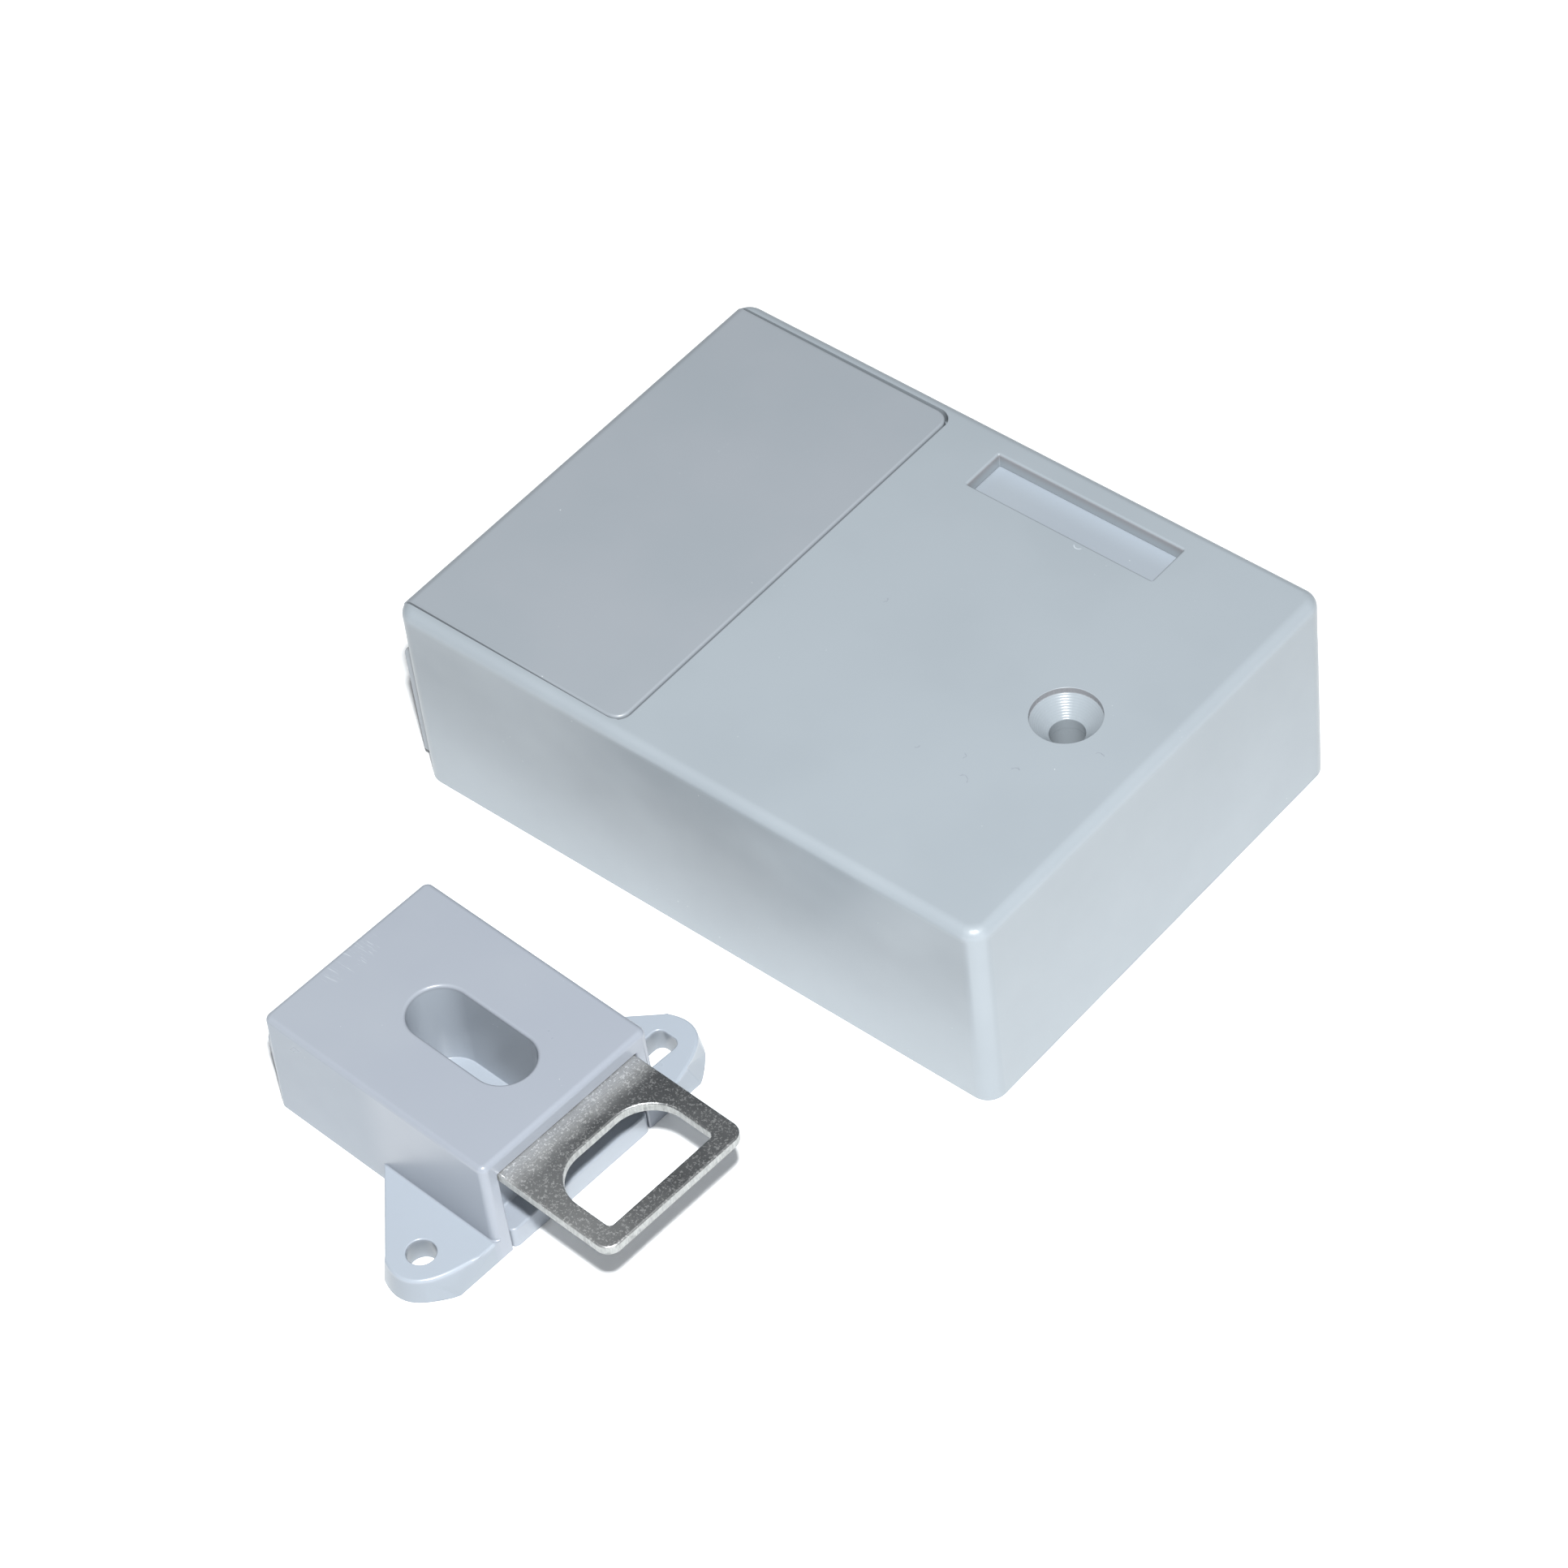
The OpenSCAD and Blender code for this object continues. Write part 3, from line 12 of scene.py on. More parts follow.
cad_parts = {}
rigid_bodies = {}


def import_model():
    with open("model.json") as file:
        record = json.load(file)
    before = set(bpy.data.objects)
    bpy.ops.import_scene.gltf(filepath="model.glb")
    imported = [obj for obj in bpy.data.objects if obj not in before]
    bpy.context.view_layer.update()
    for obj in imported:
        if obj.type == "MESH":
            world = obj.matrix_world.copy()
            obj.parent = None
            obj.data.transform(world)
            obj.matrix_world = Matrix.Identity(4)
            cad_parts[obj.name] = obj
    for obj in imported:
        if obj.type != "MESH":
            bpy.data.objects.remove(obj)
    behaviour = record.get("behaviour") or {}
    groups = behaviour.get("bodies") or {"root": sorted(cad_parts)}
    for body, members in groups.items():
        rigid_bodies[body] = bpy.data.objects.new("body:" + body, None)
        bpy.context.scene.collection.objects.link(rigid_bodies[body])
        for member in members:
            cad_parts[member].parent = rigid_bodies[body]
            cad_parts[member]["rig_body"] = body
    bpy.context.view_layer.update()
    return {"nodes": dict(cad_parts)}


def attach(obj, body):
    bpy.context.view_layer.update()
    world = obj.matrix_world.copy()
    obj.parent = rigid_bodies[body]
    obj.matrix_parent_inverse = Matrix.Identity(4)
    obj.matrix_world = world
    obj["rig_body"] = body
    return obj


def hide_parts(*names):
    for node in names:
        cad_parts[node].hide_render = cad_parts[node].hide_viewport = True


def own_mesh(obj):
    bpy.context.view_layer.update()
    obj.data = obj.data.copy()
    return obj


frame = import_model()

# Its place and its turns were fitted to the corners of the lock unit and of the keeper.
MM = 0.001
camera_place = Vector((378.2, -390.0, 597.1)) * MM
camera_yaw, camera_pitch, camera_roll = -0.7944, 0.8333, -0.1302
focal_share = 6803.6 / 1932
sensor_width = 36.0
clip_near, clip_far = 0.05, 20

ahead = Vector((sin(camera_yaw) * cos(camera_pitch), cos(camera_yaw) * cos(camera_pitch), -sin(camera_pitch)))
level_right = Vector((cos(camera_yaw), -sin(camera_yaw), 0))
level_up = level_right.cross(ahead)
camera_right = cos(camera_roll) * level_right + sin(camera_roll) * level_up
camera_up = -sin(camera_roll) * level_right + cos(camera_roll) * level_up


def stand(thing, place, right, up, forward):
    """Puts a camera or lamp at a place, with its own axes along right, up and back from what it looks at."""
    turn = Matrix((right, up, -forward)).transposed()
    thing.matrix_world = Matrix.Translation(place) @ turn.to_4x4()
    bpy.context.scene.collection.objects.link(thing)


lens = bpy.data.cameras.new("photo_camera")
lens.sensor_width = sensor_width
lens.lens = focal_share * sensor_width
lens.clip_start, lens.clip_end = clip_near, clip_far
camera = bpy.data.objects.new("photo_camera", lens)
stand(camera, camera_place, camera_right, camera_up, ahead)
bpy.context.scene.camera = camera
bpy.context.scene.view_settings.view_transform = "Standard"


# Studio table and lights
# A white table, a flash a little above the lens, and an even pale room. The steel tongue's shadow shows
# that the flash stands 8 degrees over the line of sight.


class Strand:
    """One output socket of a finish. Python's operators on strands and numbers add Math nodes."""

    def __init__(self, tree, socket=None):
        self.tree, self.socket = tree, socket

    def add(self, kind, settings=None, sockets=None, out=0):
        """Adds a node of this type with its settings, then its sockets' values or links; gives one output."""
        node = self.tree.nodes.new(kind)
        for name, value in (settings or {}).items():
            setattr(node, name, value)
        for name, value in (sockets or {}).items():
            if isinstance(value, Strand):
                self.tree.links.new(value.socket, node.inputs[name])
            else:
                node.inputs[name].default_value = value
        return Strand(self.tree, node.outputs[out] if node.outputs else None)

    def math(self, operation, first, second=0.0):
        return self.add("ShaderNodeMath", {"operation": operation}, {0: first, 1: second})

    def __add__(self, other):
        return self.math("ADD", self, other)

    def __radd__(self, other):
        return self.math("ADD", other, self)

    def __sub__(self, other):
        return self.math("SUBTRACT", self, other)

    def __rsub__(self, other):
        return self.math("SUBTRACT", other, self)

    def __mul__(self, other):
        return self.math("MULTIPLY", self, other)

    def __rmul__(self, other):
        return self.math("MULTIPLY", other, self)

    def __truediv__(self, other):
        return self.math("DIVIDE", self, other)

    def __rtruediv__(self, other):
        return self.math("DIVIDE", other, self)

    def __pow__(self, other):
        return self.math("POWER", self, other)

    def __abs__(self):
        return self.math("ABSOLUTE", self)

    def lower(self, other):
        return self.math("MINIMUM", self, other)

    def higher(self, other):
        return self.math("MAXIMUM", self, other)

    def waves(self, apart):
        """Even waves between 0 and 1, this far apart."""
        return self.math("SINE", self * (2 * pi / apart)) * 0.5 + 0.5

    def ease(self, start, end):
        """0 before start, 1 after end, and smooth between them."""
        return self.add("ShaderNodeMapRange", {"interpolation_type": "SMOOTHSTEP"},
                        {"Value": self, "From Min": start, "From Max": end})

    def cloud(self, size_mm, detail=2.0, roughness=0.5, stretch=(1, 1, 1)):
        """Noise about 0.5 over a place in millimetres: patches of about this size, longer along stretch."""
        scale = tuple(1 / (size_mm * part) for part in stretch)
        place = self.add("ShaderNodeMapping", None, {"Vector": self, "Scale": scale})
        return self.add("ShaderNodeTexNoise", None,
                        {"Vector": place, "Scale": 1.0, "Detail": detail, "Roughness": roughness})

    def parts(self):
        """The three numbers of a vector."""
        split = self.add("ShaderNodeSeparateXYZ", None, {0: self})
        node = split.socket.node
        return [Strand(self.tree, node.outputs[i]) for i in range(3)]

    def between(self, low, high):
        """The colour that lies this share of the way from low to high."""
        return self.add("ShaderNodeMix", {"data_type": "RGBA"}, {"Factor": self, 6: low, 7: high}, 2)


def tone(red, green, blue):
    """A colour given as it looks on a screen, 0 to 255, turned into the linear values that a shader takes."""
    screen = np.array([red, green, blue]) / 255
    linear = np.where(screen <= 0.04045, screen / 12.92, ((screen + 0.055) / 1.055) ** 2.4)
    return (*linear.tolist(), 1.0)


def finish_named(name):
    """A new material, and a strand at its own coordinates in millimetres."""
    finish = bpy.data.materials.new(name)
    finish.use_nodes = True
    tree = finish.node_tree
    tree.nodes.clear()
    own = Strand(tree).add("ShaderNodeTexCoord", None, None, 3)
    place = own.add("ShaderNodeVectorMath", {"operation": "SCALE"}, {0: own, "Scale": 1000.0})
    return finish, place


def close_finish(place, surface, height=None, depth_mm=0.0):
    """Ends a finish with its surface shader; height in 0 to 1 times the depth becomes its fine relief."""
    if height is not None:
        surface["Normal"] = place.add("ShaderNodeBump", None, {"Height": height, "Distance": depth_mm * MM,
                                                              "Strength": 1.0})
    shader = place.add("ShaderNodeBsdfPrincipled", None, surface)
    place.add("ShaderNodeOutputMaterial", None, {"Surface": shader})


def placed(name, mesh):
    """A new object of this mesh, unturned at the scene's origin."""
    thing = bpy.data.objects.new(name, mesh)
    bpy.context.scene.collection.objects.link(thing)
    return thing


table_side = 6.0
table_white = (0.92, 0.925, 0.93, 1.0)
table_speck = (0.905, 0.91, 0.915, 1.0)
table_mesh = bpy.data.meshes.new("table")
edge = table_side / 2
table_corners = [(-edge, -edge, 0), (edge, -edge, 0), (edge, edge, 0), (-edge, edge, 0)]
table_mesh.from_pydata(table_corners, [], [(0, 1, 2, 3)])
table_finish, spot = finish_named("matt_white_table")
close_finish(spot, {"Base Color": spot.cloud(35.0).ease(0.35, 0.75).between(table_white, table_speck),
                    "Roughness": 0.7, "Specular IOR Level": 0.3})
table_mesh.materials.append(table_finish)
placed("table", table_mesh)

kit_middle = Vector((5, -15, 10)) * MM
flash_over_lens, flash_side, flash_watts, flash_tone = 0.120, 0.045, 12.9, (0.985, 1.0, 1.0)
fill_place, fill_side, fill_watts, fill_tone = Vector((1.15, -0.42, 0.24)), 0.7, 2.6, (0.97, 0.99, 1.0)
room_tone, room_strength = (0.93, 0.965, 1.0, 1.0), 0.30


def square_lamp(name, place, side, watts, colour):
    lamp = bpy.data.lights.new(name, "AREA")
    lamp.shape, lamp.size, lamp.energy, lamp.color = "SQUARE", side, watts, colour
    forward = (kit_middle - place).normalized()
    right = forward.cross(Vector((0, 0, 1))).normalized()
    stand(bpy.data.objects.new(name, lamp), place, right, right.cross(forward), forward)


square_lamp("flash", camera_place + flash_over_lens * camera_up, flash_side, flash_watts, flash_tone)
# A broad pale board on the right turns some light back on the two near sides.
square_lamp("fill_board", fill_place, fill_side, fill_watts, fill_tone)

room = bpy.data.worlds.new("pale_room")
room.use_nodes = True
background = room.node_tree.nodes["Background"].inputs
background["Color"].default_value, background["Strength"].default_value = room_tone, room_strength
bpy.context.scene.world = room


# Case of the lock unit
# One moulding of cool blue-grey ABS, open at the bottom, with a satin skin from the mould. Its edges are
# the CAD model's, and get the small rounds that a real mould leaves on every rim.
joint_step = 1e-7
flat_angle, edge_angle, shared_angle = radians(0.6), radians(24), radians(40)
round_steps, rim_share = 3, 1e-7
flat_border, flat_reach, hair = 0.01, 6e-6, 0.012


def merged_copy(node, shape=None):
    """The node's loose triangles as one closed mesh: equal corners get one number, and faces that shrink to
    nothing go.
    """
    loose = frame["nodes"][node].data
    place = np.empty(len(loose.vertices) * 3)
    loose.vertices.foreach_get("co", place)
    place = place.reshape(-1, 3)
    corner = np.empty(len(loose.loops), int)
    loose.loops.foreach_get("vertex_index", corner)
    _, first, number = np.unique(np.round(place / joint_step).astype(np.int64), axis=0,
                                 return_index=True, return_inverse=True)
    faces = number.reshape(-1)[corner].reshape(-1, 3)
    whole = (faces[:, 0] != faces[:, 1]) & (faces[:, 1] != faces[:, 2]) & (faces[:, 2] != faces[:, 0])
    place = place[first]
    if shape is not None:
        place = shape(place / MM) * MM
    return place, faces[whole]


def flats_with_holes(work):
    """Groups of faces in one plane that only a bridging edge parts, as a mesh keeps a flat with holes."""
    bridges = [e for e in work.edges if len(e.link_faces) == 2 and e.calc_face_angle(9.0) < 1e-3]
    near = {}
    for bridge in bridges:
        one, other = bridge.link_faces
        near.setdefault(one, set()).add(other)
        near.setdefault(other, set()).add(one)
    groups = []
    while near:
        group, waiting = set(), [next(iter(near))]
        while waiting:
            face = waiting.pop()
            if face in near:
                group.add(face)
                waiting.extend(near.pop(face))
        groups.append(list(group))
    return groups


def flat_normals(mesh):
    """Gives each corner the mean normal, by area, of its vertex's faces within 40 degrees of its own face.

    Rounded rims, which are in slot 1, count for next to nothing, so that a flat stays flat up to its rim.
    """
    count = len(mesh.polygons)
    area, across = np.empty(count), np.empty(count * 3)
    slot, sides, corner = np.empty(count, int), np.empty(count, int), np.empty(len(mesh.loops), int)
    for name, into in (("area", area), ("normal", across), ("material_index", slot), ("loop_total", sides)):
        mesh.polygons.foreach_get(name, into)
    mesh.loops.foreach_get("vertex_index", corner)
    owner = np.repeat(np.arange(count), sides)
    across = across.reshape(-1, 3)[owner]
    share = (area * MM ** -2 * np.where(slot == 0, 1.0, rim_share))[owner]
    order = np.argsort(corner, kind="stable")
    meeting = np.bincount(corner, minlength=len(mesh.vertices))
    start = np.cumsum(meeting) - meeting
    times = meeting[corner]
    one = np.repeat(np.arange(len(corner)), times)
    nth = np.arange(len(one)) - np.repeat(np.cumsum(times) - times, times)
    other = order[np.repeat(start[corner], times) + nth]
    level = (across[one] * across[other]).sum(1) > cos(shared_angle)
    normal = np.zeros((len(corner), 3))
    np.add.at(normal, one, across[other] * (share[other] * level)[:, None])
    normal /= np.maximum(np.linalg.norm(normal, axis=1), 1e-20)[:, None]
    mesh.polygons.foreach_set("material_index", np.zeros(count, np.int32))
    mesh.normals_split_custom_set(normal.tolist())


def softened(node, name, finish, widths, shape=None, outline=None):
    """A copy of the node with rounded rims: each sharp edge gets the width that widths gives for its middle.

    Shape moves the node's places, and outline works on its edges, before anything is rounded. A flat with
    holes gets a hair-thin border first, so that each rim moves straight inwards, and is filled anew after.
    """
    place, faces = merged_copy(node, shape)
    mesh = bpy.data.meshes.new(name)
    mesh.from_pydata(place.tolist(), [], faces.tolist())
    work = bmesh.new()
    work.from_mesh(mesh)
    bmesh.ops.remove_doubles(work, verts=work.verts[:], dist=hair * MM)
    bmesh.ops.dissolve_limit(work, angle_limit=flat_angle, verts=work.verts[:], edges=work.edges[:],
                             use_dissolve_boundaries=False)
    if outline is not None:
        outline(work)
    planes = []
    for group in flats_with_holes(work):
        biggest = max(group, key=lambda face: face.calc_area())
        across = Vector(np.round(biggest.normal, 4)).normalized()
        planes.append((across, across.dot(biggest.verts[0].co)))
        bmesh.ops.inset_region(work, faces=group, thickness=flat_border * MM, use_boundary=True,
                               use_even_offset=True, use_interpolate=False)
    work.normal_update()
    work.to_mesh(mesh)
    ends = np.array([[e.verts[0].co, e.verts[1].co] for e in work.edges]) / MM
    turn = np.array([e.calc_face_angle(0.0) for e in work.edges])
    work.free()
    width = np.where(turn > edge_angle, widths(ends.mean(1)), 0.0)
    widest = float(width.max())
    weight = mesh.attributes.new("bevel_weight_edge", "FLOAT", "EDGE")
    weight.data.foreach_set("value", (width / widest).astype(np.float32))
    mesh.polygons.foreach_set("use_smooth", np.ones(len(mesh.polygons), bool))
    mesh.materials.append(finish)
    mesh.materials.append(finish)
    piece = placed(name, mesh)
    rims = piece.modifiers.new("rims", "BEVEL")
    rims.limit_method, rims.offset_type, rims.width = "WEIGHT", "OFFSET", widest * MM
    rims.segments, rims.profile, rims.use_clamp_overlap = round_steps, 0.5, False
    rims.miter_outer, rims.material = "MITER_ARC", 1
    rounded = bpy.data.meshes.new_from_object(piece.evaluated_get(bpy.context.evaluated_depsgraph_get()))
    piece.modifiers.clear()
    work = bmesh.new()
    work.from_mesh(rounded)
    for across, reach in planes:
        flat = [f for f in work.faces if all(abs(across.dot(v.co) - reach) < flat_reach for v in f.verts)]
        rim = {e for f in flat for e in f.edges}
        bmesh.ops.delete(work, geom=flat, context="FACES_KEEP_BOUNDARY")
        rim = [e for e in rim if e.is_valid and len(e.link_faces) == 1]
        filled = bmesh.ops.triangle_fill(work, edges=rim, use_beauty=True, use_dissolve=False, normal=across)
        for face in filled["geom"]:
            if isinstance(face, bmesh.types.BMFace):
                face.smooth, face.material_index = True, 0
                if face.normal.dot(across) < 0:
                    face.normal_flip()
    work.normal_update()
    work.to_mesh(rounded)
    work.free()
    flat_normals(rounded)
    rounded.materials.pop()
    rounded.name = name
    piece.data = rounded
    bpy.data.meshes.remove(mesh)
    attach(piece, frame["nodes"][node]["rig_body"])
    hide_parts(node)
    return piece


dust_tone, lint_tone = tone(226, 230, 232), tone(104, 106, 116)
mould_grain, mould_patch, mould_depth = 0.28, 2.6, 0.004
ring_pitch, ring_depth, ring_gloss = 0.28, 2.2, 0.13
near_wall, end_wall, under_rim, top_skin = (-39.23, -38.9), (53.2, 53.48), (33.2, 34.6), (35.4, 35.5)
hole_middle, seat_radius, cone_low = (38.0, 0.0), 5.3, 30.0
slot_middle, slot_half = (15.2, 31.1), (16.7, 3.65)


def reach_from(x, y, middle):
    """How far a place lies from the upright axis through middle."""
    return ((x - middle[0]) ** 2.0 + (y - middle[1]) ** 2.0) ** 0.5


def abs_finish(name, body, shade, lint=(), rings=None, gloss=0.36, zones=()):
    """Moulded ABS: faint clouds of tone, a satin mould grain, specks and squiggles of lint, and turned rings.

    A squiggle is the side (side_x, side_y) of a circle round (x, y). Rings are an axis, the radius that they
    fill and the height that they start at. Zones are pairs of a mask's maker, from place to a 0 to 1 strand,
    and the tone that it blends in; some zones are real tints and marks, others painted light and shade.
    """
    finish, place = finish_named(name)
    colour = place.cloud(26.0, 3.0).ease(0.32, 0.68).between(body, shade)
    x, y, z = place.parts()
    for mask, zone_tone in zones:
        colour = mask(place).between(colour, zone_tone)
    dust = place.cloud(0.45, 1.0).ease(0.79, 0.83) * place.cloud(11.0).ease(0.52, 0.62)
    colour = (dust * 0.45).between(colour, dust_tone)
    wobble = place.cloud(0.8, 3.0, 0.6) * 1.6 - 0.8
    for hair_x, hair_y, radius, side_x, side_y in lint:
        line = 1 - abs(reach_from(x, y, (hair_x, hair_y)) - radius + wobble * 0.5).ease(0.03, 0.09)
        part = ((x - hair_x) * side_x + (y - hair_y) * side_y).ease(0.3 * radius, 0.5 * radius)
        colour = (line * part * z.ease(*top_skin) * 0.5).between(colour, lint_tone)
    grain = place.cloud(mould_grain, 2.0, 0.6) * 0.55 + place.cloud(mould_patch, 2.0) * 0.45
    rough = place.cloud(5.0, 2.0) * 0.10 + (gloss - 0.05)
    if rings is not None:
        middle, far, low = rings
        reach = reach_from(x, y, middle)
        cone = (1 - reach.ease(far - 0.1, far)) * z.ease(low, low + 0.3)
        grain = grain + reach.waves(ring_pitch) * cone * ring_depth
        rough = rough - cone * ring_gloss
    surface = {"Base Color": colour, "Roughness": rough, "Specular IOR Level": 0.5, "IOR": 1.53}
    close_finish(place, surface, grain, mould_depth)
    return finish


def case_side_painted_shade(place):
    """The near long wall: painted shade and reflection, darker in soft patches towards its upper edge."""
    x, y, z = place.parts()
    patches = place.cloud(30.0, 2.0, 0.5, (1.0, 1.0, 0.6)).ease(0.30, 0.70)
    return (1 - y.ease(*near_wall)) * z.ease(4.0, 30.0) * (1 - z.ease(*under_rim)) * (patches * 0.38 + 0.26)


def case_end_painted_shade(place):
    """The right end wall: painted shade, a little darker than the top, more so higher up, below the rim."""
    x, y, z = place.parts()
    return x.ease(*end_wall) * (z.ease(10.0, 32.0) * 0.25 + 0.15) * (1 - z.ease(*under_rim))


def seat_step(place):
    """The short upright wall round the screw's seat, in a warmer, darker tone."""
    x, y, z = place.parts()
    reach = reach_from(x, y, hole_middle)
    wall = reach.ease(seat_radius - 0.2, seat_radius - 0.1) * (1 - reach.ease(seat_radius, seat_radius + 0.1))
    return wall * z.ease(34.5, 34.7) * (1 - z.ease(35.50, 35.59))


def slot_brim(place):
    """The upper part of the tongue slot's walls, a touch warmer."""
    x, y, z = place.parts()
    inside_x = 1 - abs(x - slot_middle[0]).ease(slot_half[0] + 0.1, slot_half[0] + 0.4)
    inside_y = 1 - abs(y - slot_middle[1]).ease(slot_half[1] + 0.05, slot_half[1] + 0.35)
    return inside_x * inside_y * z.ease(33.9, 35.2) * (1 - z.ease(35.3, 35.5))


def slot_nick(place):
    """A small pale crescent, a scrape from the tongue, on the slot's near rim."""
    x, y, z = place.parts()
    line = 1 - abs(reach_from(x, y, nick_middle) - nick_radius).ease(0.03, 0.11)
    return line * (1 - y.ease(nick_middle[1] - 0.5, nick_middle[1] - 0.2)) * z.ease(*top_skin) * 0.45


nick_middle, nick_radius = (19.3, 26.9), 0.72
case_body, case_shade = tone(134, 141, 147), tone(131, 138, 144)
case_lint = ((33.6, -17.8, 0.9, 0.3, 1), (31.0, -14.2, 0.5, 1, 0.4), (24.6, -16.4, 0.45, 0.8, -0.5),
             (38.6, -12.2, 0.6, -0.4, 1), (3.3, 2.7, 0.5, 1, 0), (46.4, -3.4, 0.6, -0.2, 1),
             (-30.5, -12.0, 0.4, 1, 0.3))
case_zones = ((case_side_painted_shade, tone(101, 108, 114)), (case_end_painted_shade, tone(112, 119, 124)),
              (seat_step, tone(128, 129, 133)), (slot_brim, tone(127, 128, 132)),
              (slot_nick, tone(196, 203, 209)))
case_rings = (hole_middle, seat_radius, cone_low)
case_finish = abs_finish("satin_case_abs", case_body, case_shade, case_lint, case_rings, zones=case_zones)
slot_rim, hole_rim, seam_rim, case_foot, inner_rim = 0.42, 0.09, 0.26, 0.30, 0.10
outer_half = (53.5, 39.25)
pocket_x, pocket_side, pocket_floor, cheek_end, cheek_low = -10, 36.9, 33.6, -49.0, 2.0


def case_rims(middle):
    """Rim widths of the case, in millimetres, by where an edge's middle lies. The rails and cheeks that the
    battery cover slides on keep their sharp edges."""
    x, y, z = middle.T
    top = z > 35.5
    width = np.where(top, seam_rim, inner_rim)
    rail = (z > pocket_floor) & (np.abs(y) > pocket_side) & (x < pocket_x)
    cheek = (x < cheek_end) & (np.abs(y) > pocket_side) & (z > cheek_low)
    width = np.where(rail | cheek, 0.0, width)
    slot_x, slot_y = np.abs(x - slot_middle[0]), np.abs(y - slot_middle[1])
    width = np.where(top & (slot_x < slot_half[0] + 0.5) & (slot_y < slot_half[1] + 0.35), slot_rim, width)
    width = np.where(top & (np.hypot(x - hole_middle[0], y) < seat_radius + 0.7), hole_rim, width)
    edge = (np.abs(np.abs(x) - outer_half[0]) < 0.2) | (np.abs(np.abs(y) - outer_half[1]) < 0.2)
    return np.where((z < 0.05) & edge, case_foot, width)


case = softened("housing_shell", "case", case_finish, case_rims)


# Battery cover
# A flush lid of the same ABS from another batch, a shade greyer, which turns down the left end to a thumb
# grip. It slides off to the left, held by hooks under the case's ledges.
cover_body, cover_shade = tone(129, 134, 140), tone(126, 132, 138)
cover_finish = abs_finish("satin_cover_abs", cover_body, cover_shade, gloss=0.38)
cover_rim, cover_inner_rim, grip_rim = 0.45, 0.10, 0.25
fold_start, grip_start, grip_high = -50.6, -53.3, 24


def cover_rims(middle):
    """Wider rounds round the lid's top outline and the grip, small ones inside, none along the arcs that turn
    the lid down its end."""
    x, y, z = middle.T
    width = np.where(z > 35.4, cover_rim, cover_inner_rim)
    width = np.where(x < fold_start, 0.0, width)
    return np.where((x < grip_start) & (z < grip_high), grip_rim, width)


cover = softened("battery_cover", "battery_lid", cover_finish, cover_rims)


# Ejector
# The sprung head that closes the tongue slot from below: a lighter, bluer moulding, pushed up against the
# underside of the case.
ejector_body, ejector_shade = tone(138, 145, 152), tone(134, 141, 149)
ejector_rim = 0.2


def ejector_far_edge_painted_light(place):
    """Painted light: the head grows a little paler and bluer towards its far edge, where the slot's far wall
    throws light on it.
    """
    x, y, z = place.parts()
    return y.ease(31.0, 34.8) * z.ease(32.6, 32.9)


def even_rims(width):
    """The same rim width at every edge."""
    return lambda middle: np.full(len(middle), width)


ejector_finish = abs_finish("ejector_abs", ejector_body, ejector_shade, gloss=0.33,
                            zones=((ejector_far_edge_painted_light, tone(142, 150, 159)),))
ejector = softened("ejector", "ejector_head", ejector_finish, even_rims(ejector_rim))


# Base plate
# The flat ABS plate that closes the lock unit against the door, with posts for the board and the springs.
base_rim = 0.16
base = softened("base_plate", "base_lid", case_finish, even_rims(base_rim))


# Keeper housing
# The keeper's cap, moulded in the same ABS, with two screw ears, an oblong well and draft on every wall, so
# that it leaves its mould. It clips over the insert that holds the tongue.
keeper_x, keeper_y, keeper_mid, keeper_turn = -27.2, -81.1, 16.35, radians(-3.1)
keeper_long, keeper_wide, keeper_high = 43.9, 32.7, 19.2
wall_draft, wall_band, ear_draft_share, ear_top = 0.34, 1.25, 0.055, 4.1
ear_hole_x, ear_hole_out, ear_hole_clear = 36.9, 6.6, 3.2
well_x = 25.4


def to_keeper(place):
    """World places in millimetres turned into the keeper's own frame."""
    x, y = place[:, 0] - keeper_x, place[:, 1] - keeper_y
    c, s = cos(keeper_turn), sin(keeper_turn)
    return np.stack((c * x + s * y, -s * x + c * y + keeper_mid, place[:, 2]), 1)


def from_keeper(place):
    """The keeper's own places turned back into the world's."""
    x, y = place[:, 0], place[:, 1] - keeper_mid
    c, s = cos(keeper_turn), sin(keeper_turn)
    return np.stack((keeper_x + c * x - s * y, keeper_y + s * x + c * y, place[:, 2]), 1)


def drafted(place):
    """Walls lean in by their draft times height; an ear's top outline shrinks towards its screw hole."""
    own = to_keeper(place)
    x, y, z = own.T.copy()
    lean = wall_draft * np.clip(z / keeper_high, 0, 1)
    inside = (y > -0.05) & (y < keeper_wide + 0.05)
    near, far = inside & (y < wall_band), inside & (y > keeper_wide - wall_band)
    own[:, 1] += np.where(near, lean, 0) - np.where(far, lean, 0)
    own[:, 0] += np.where(x < wall_band, lean, 0) - np.where(x > keeper_long - wall_band, lean, 0)
    ear = ~inside & (z > ear_top - 0.3)
    side = np.where(y < 0, 0.0, keeper_wide)
    hole = np.hypot(x - ear_hole_x, np.abs(y - side) - ear_hole_out) < ear_hole_clear
    share = np.where(ear & ~hole, ear_draft_share, 0.0)
    own[:, 0] -= share * (x - ear_hole_x)
    own[:, 1] -= share * (y - side)
    return from_keeper(own)


def keeper_place(place):
    """A place turned into the keeper's own frame, with y counted from its middle line."""
    return place.add("ShaderNodeMapping", {"vector_type": "TEXTURE"},
                     {"Vector": place, "Location": (keeper_x, keeper_y, 0), "Rotation": (0, 0, keeper_turn)})


def in_ears(y):
    """1 past the housing's long walls, where only the ears are."""
    return abs(y).ease(keeper_mid - 0.1, keeper_mid + 0.3)


def in_well(x, y, half_x, half_y):
    """1 inside the well's outline, fading between the two lengths and the two widths given."""
    return (1 - abs(x - well_x).ease(*half_x)) * (1 - abs(y).ease(*half_y))


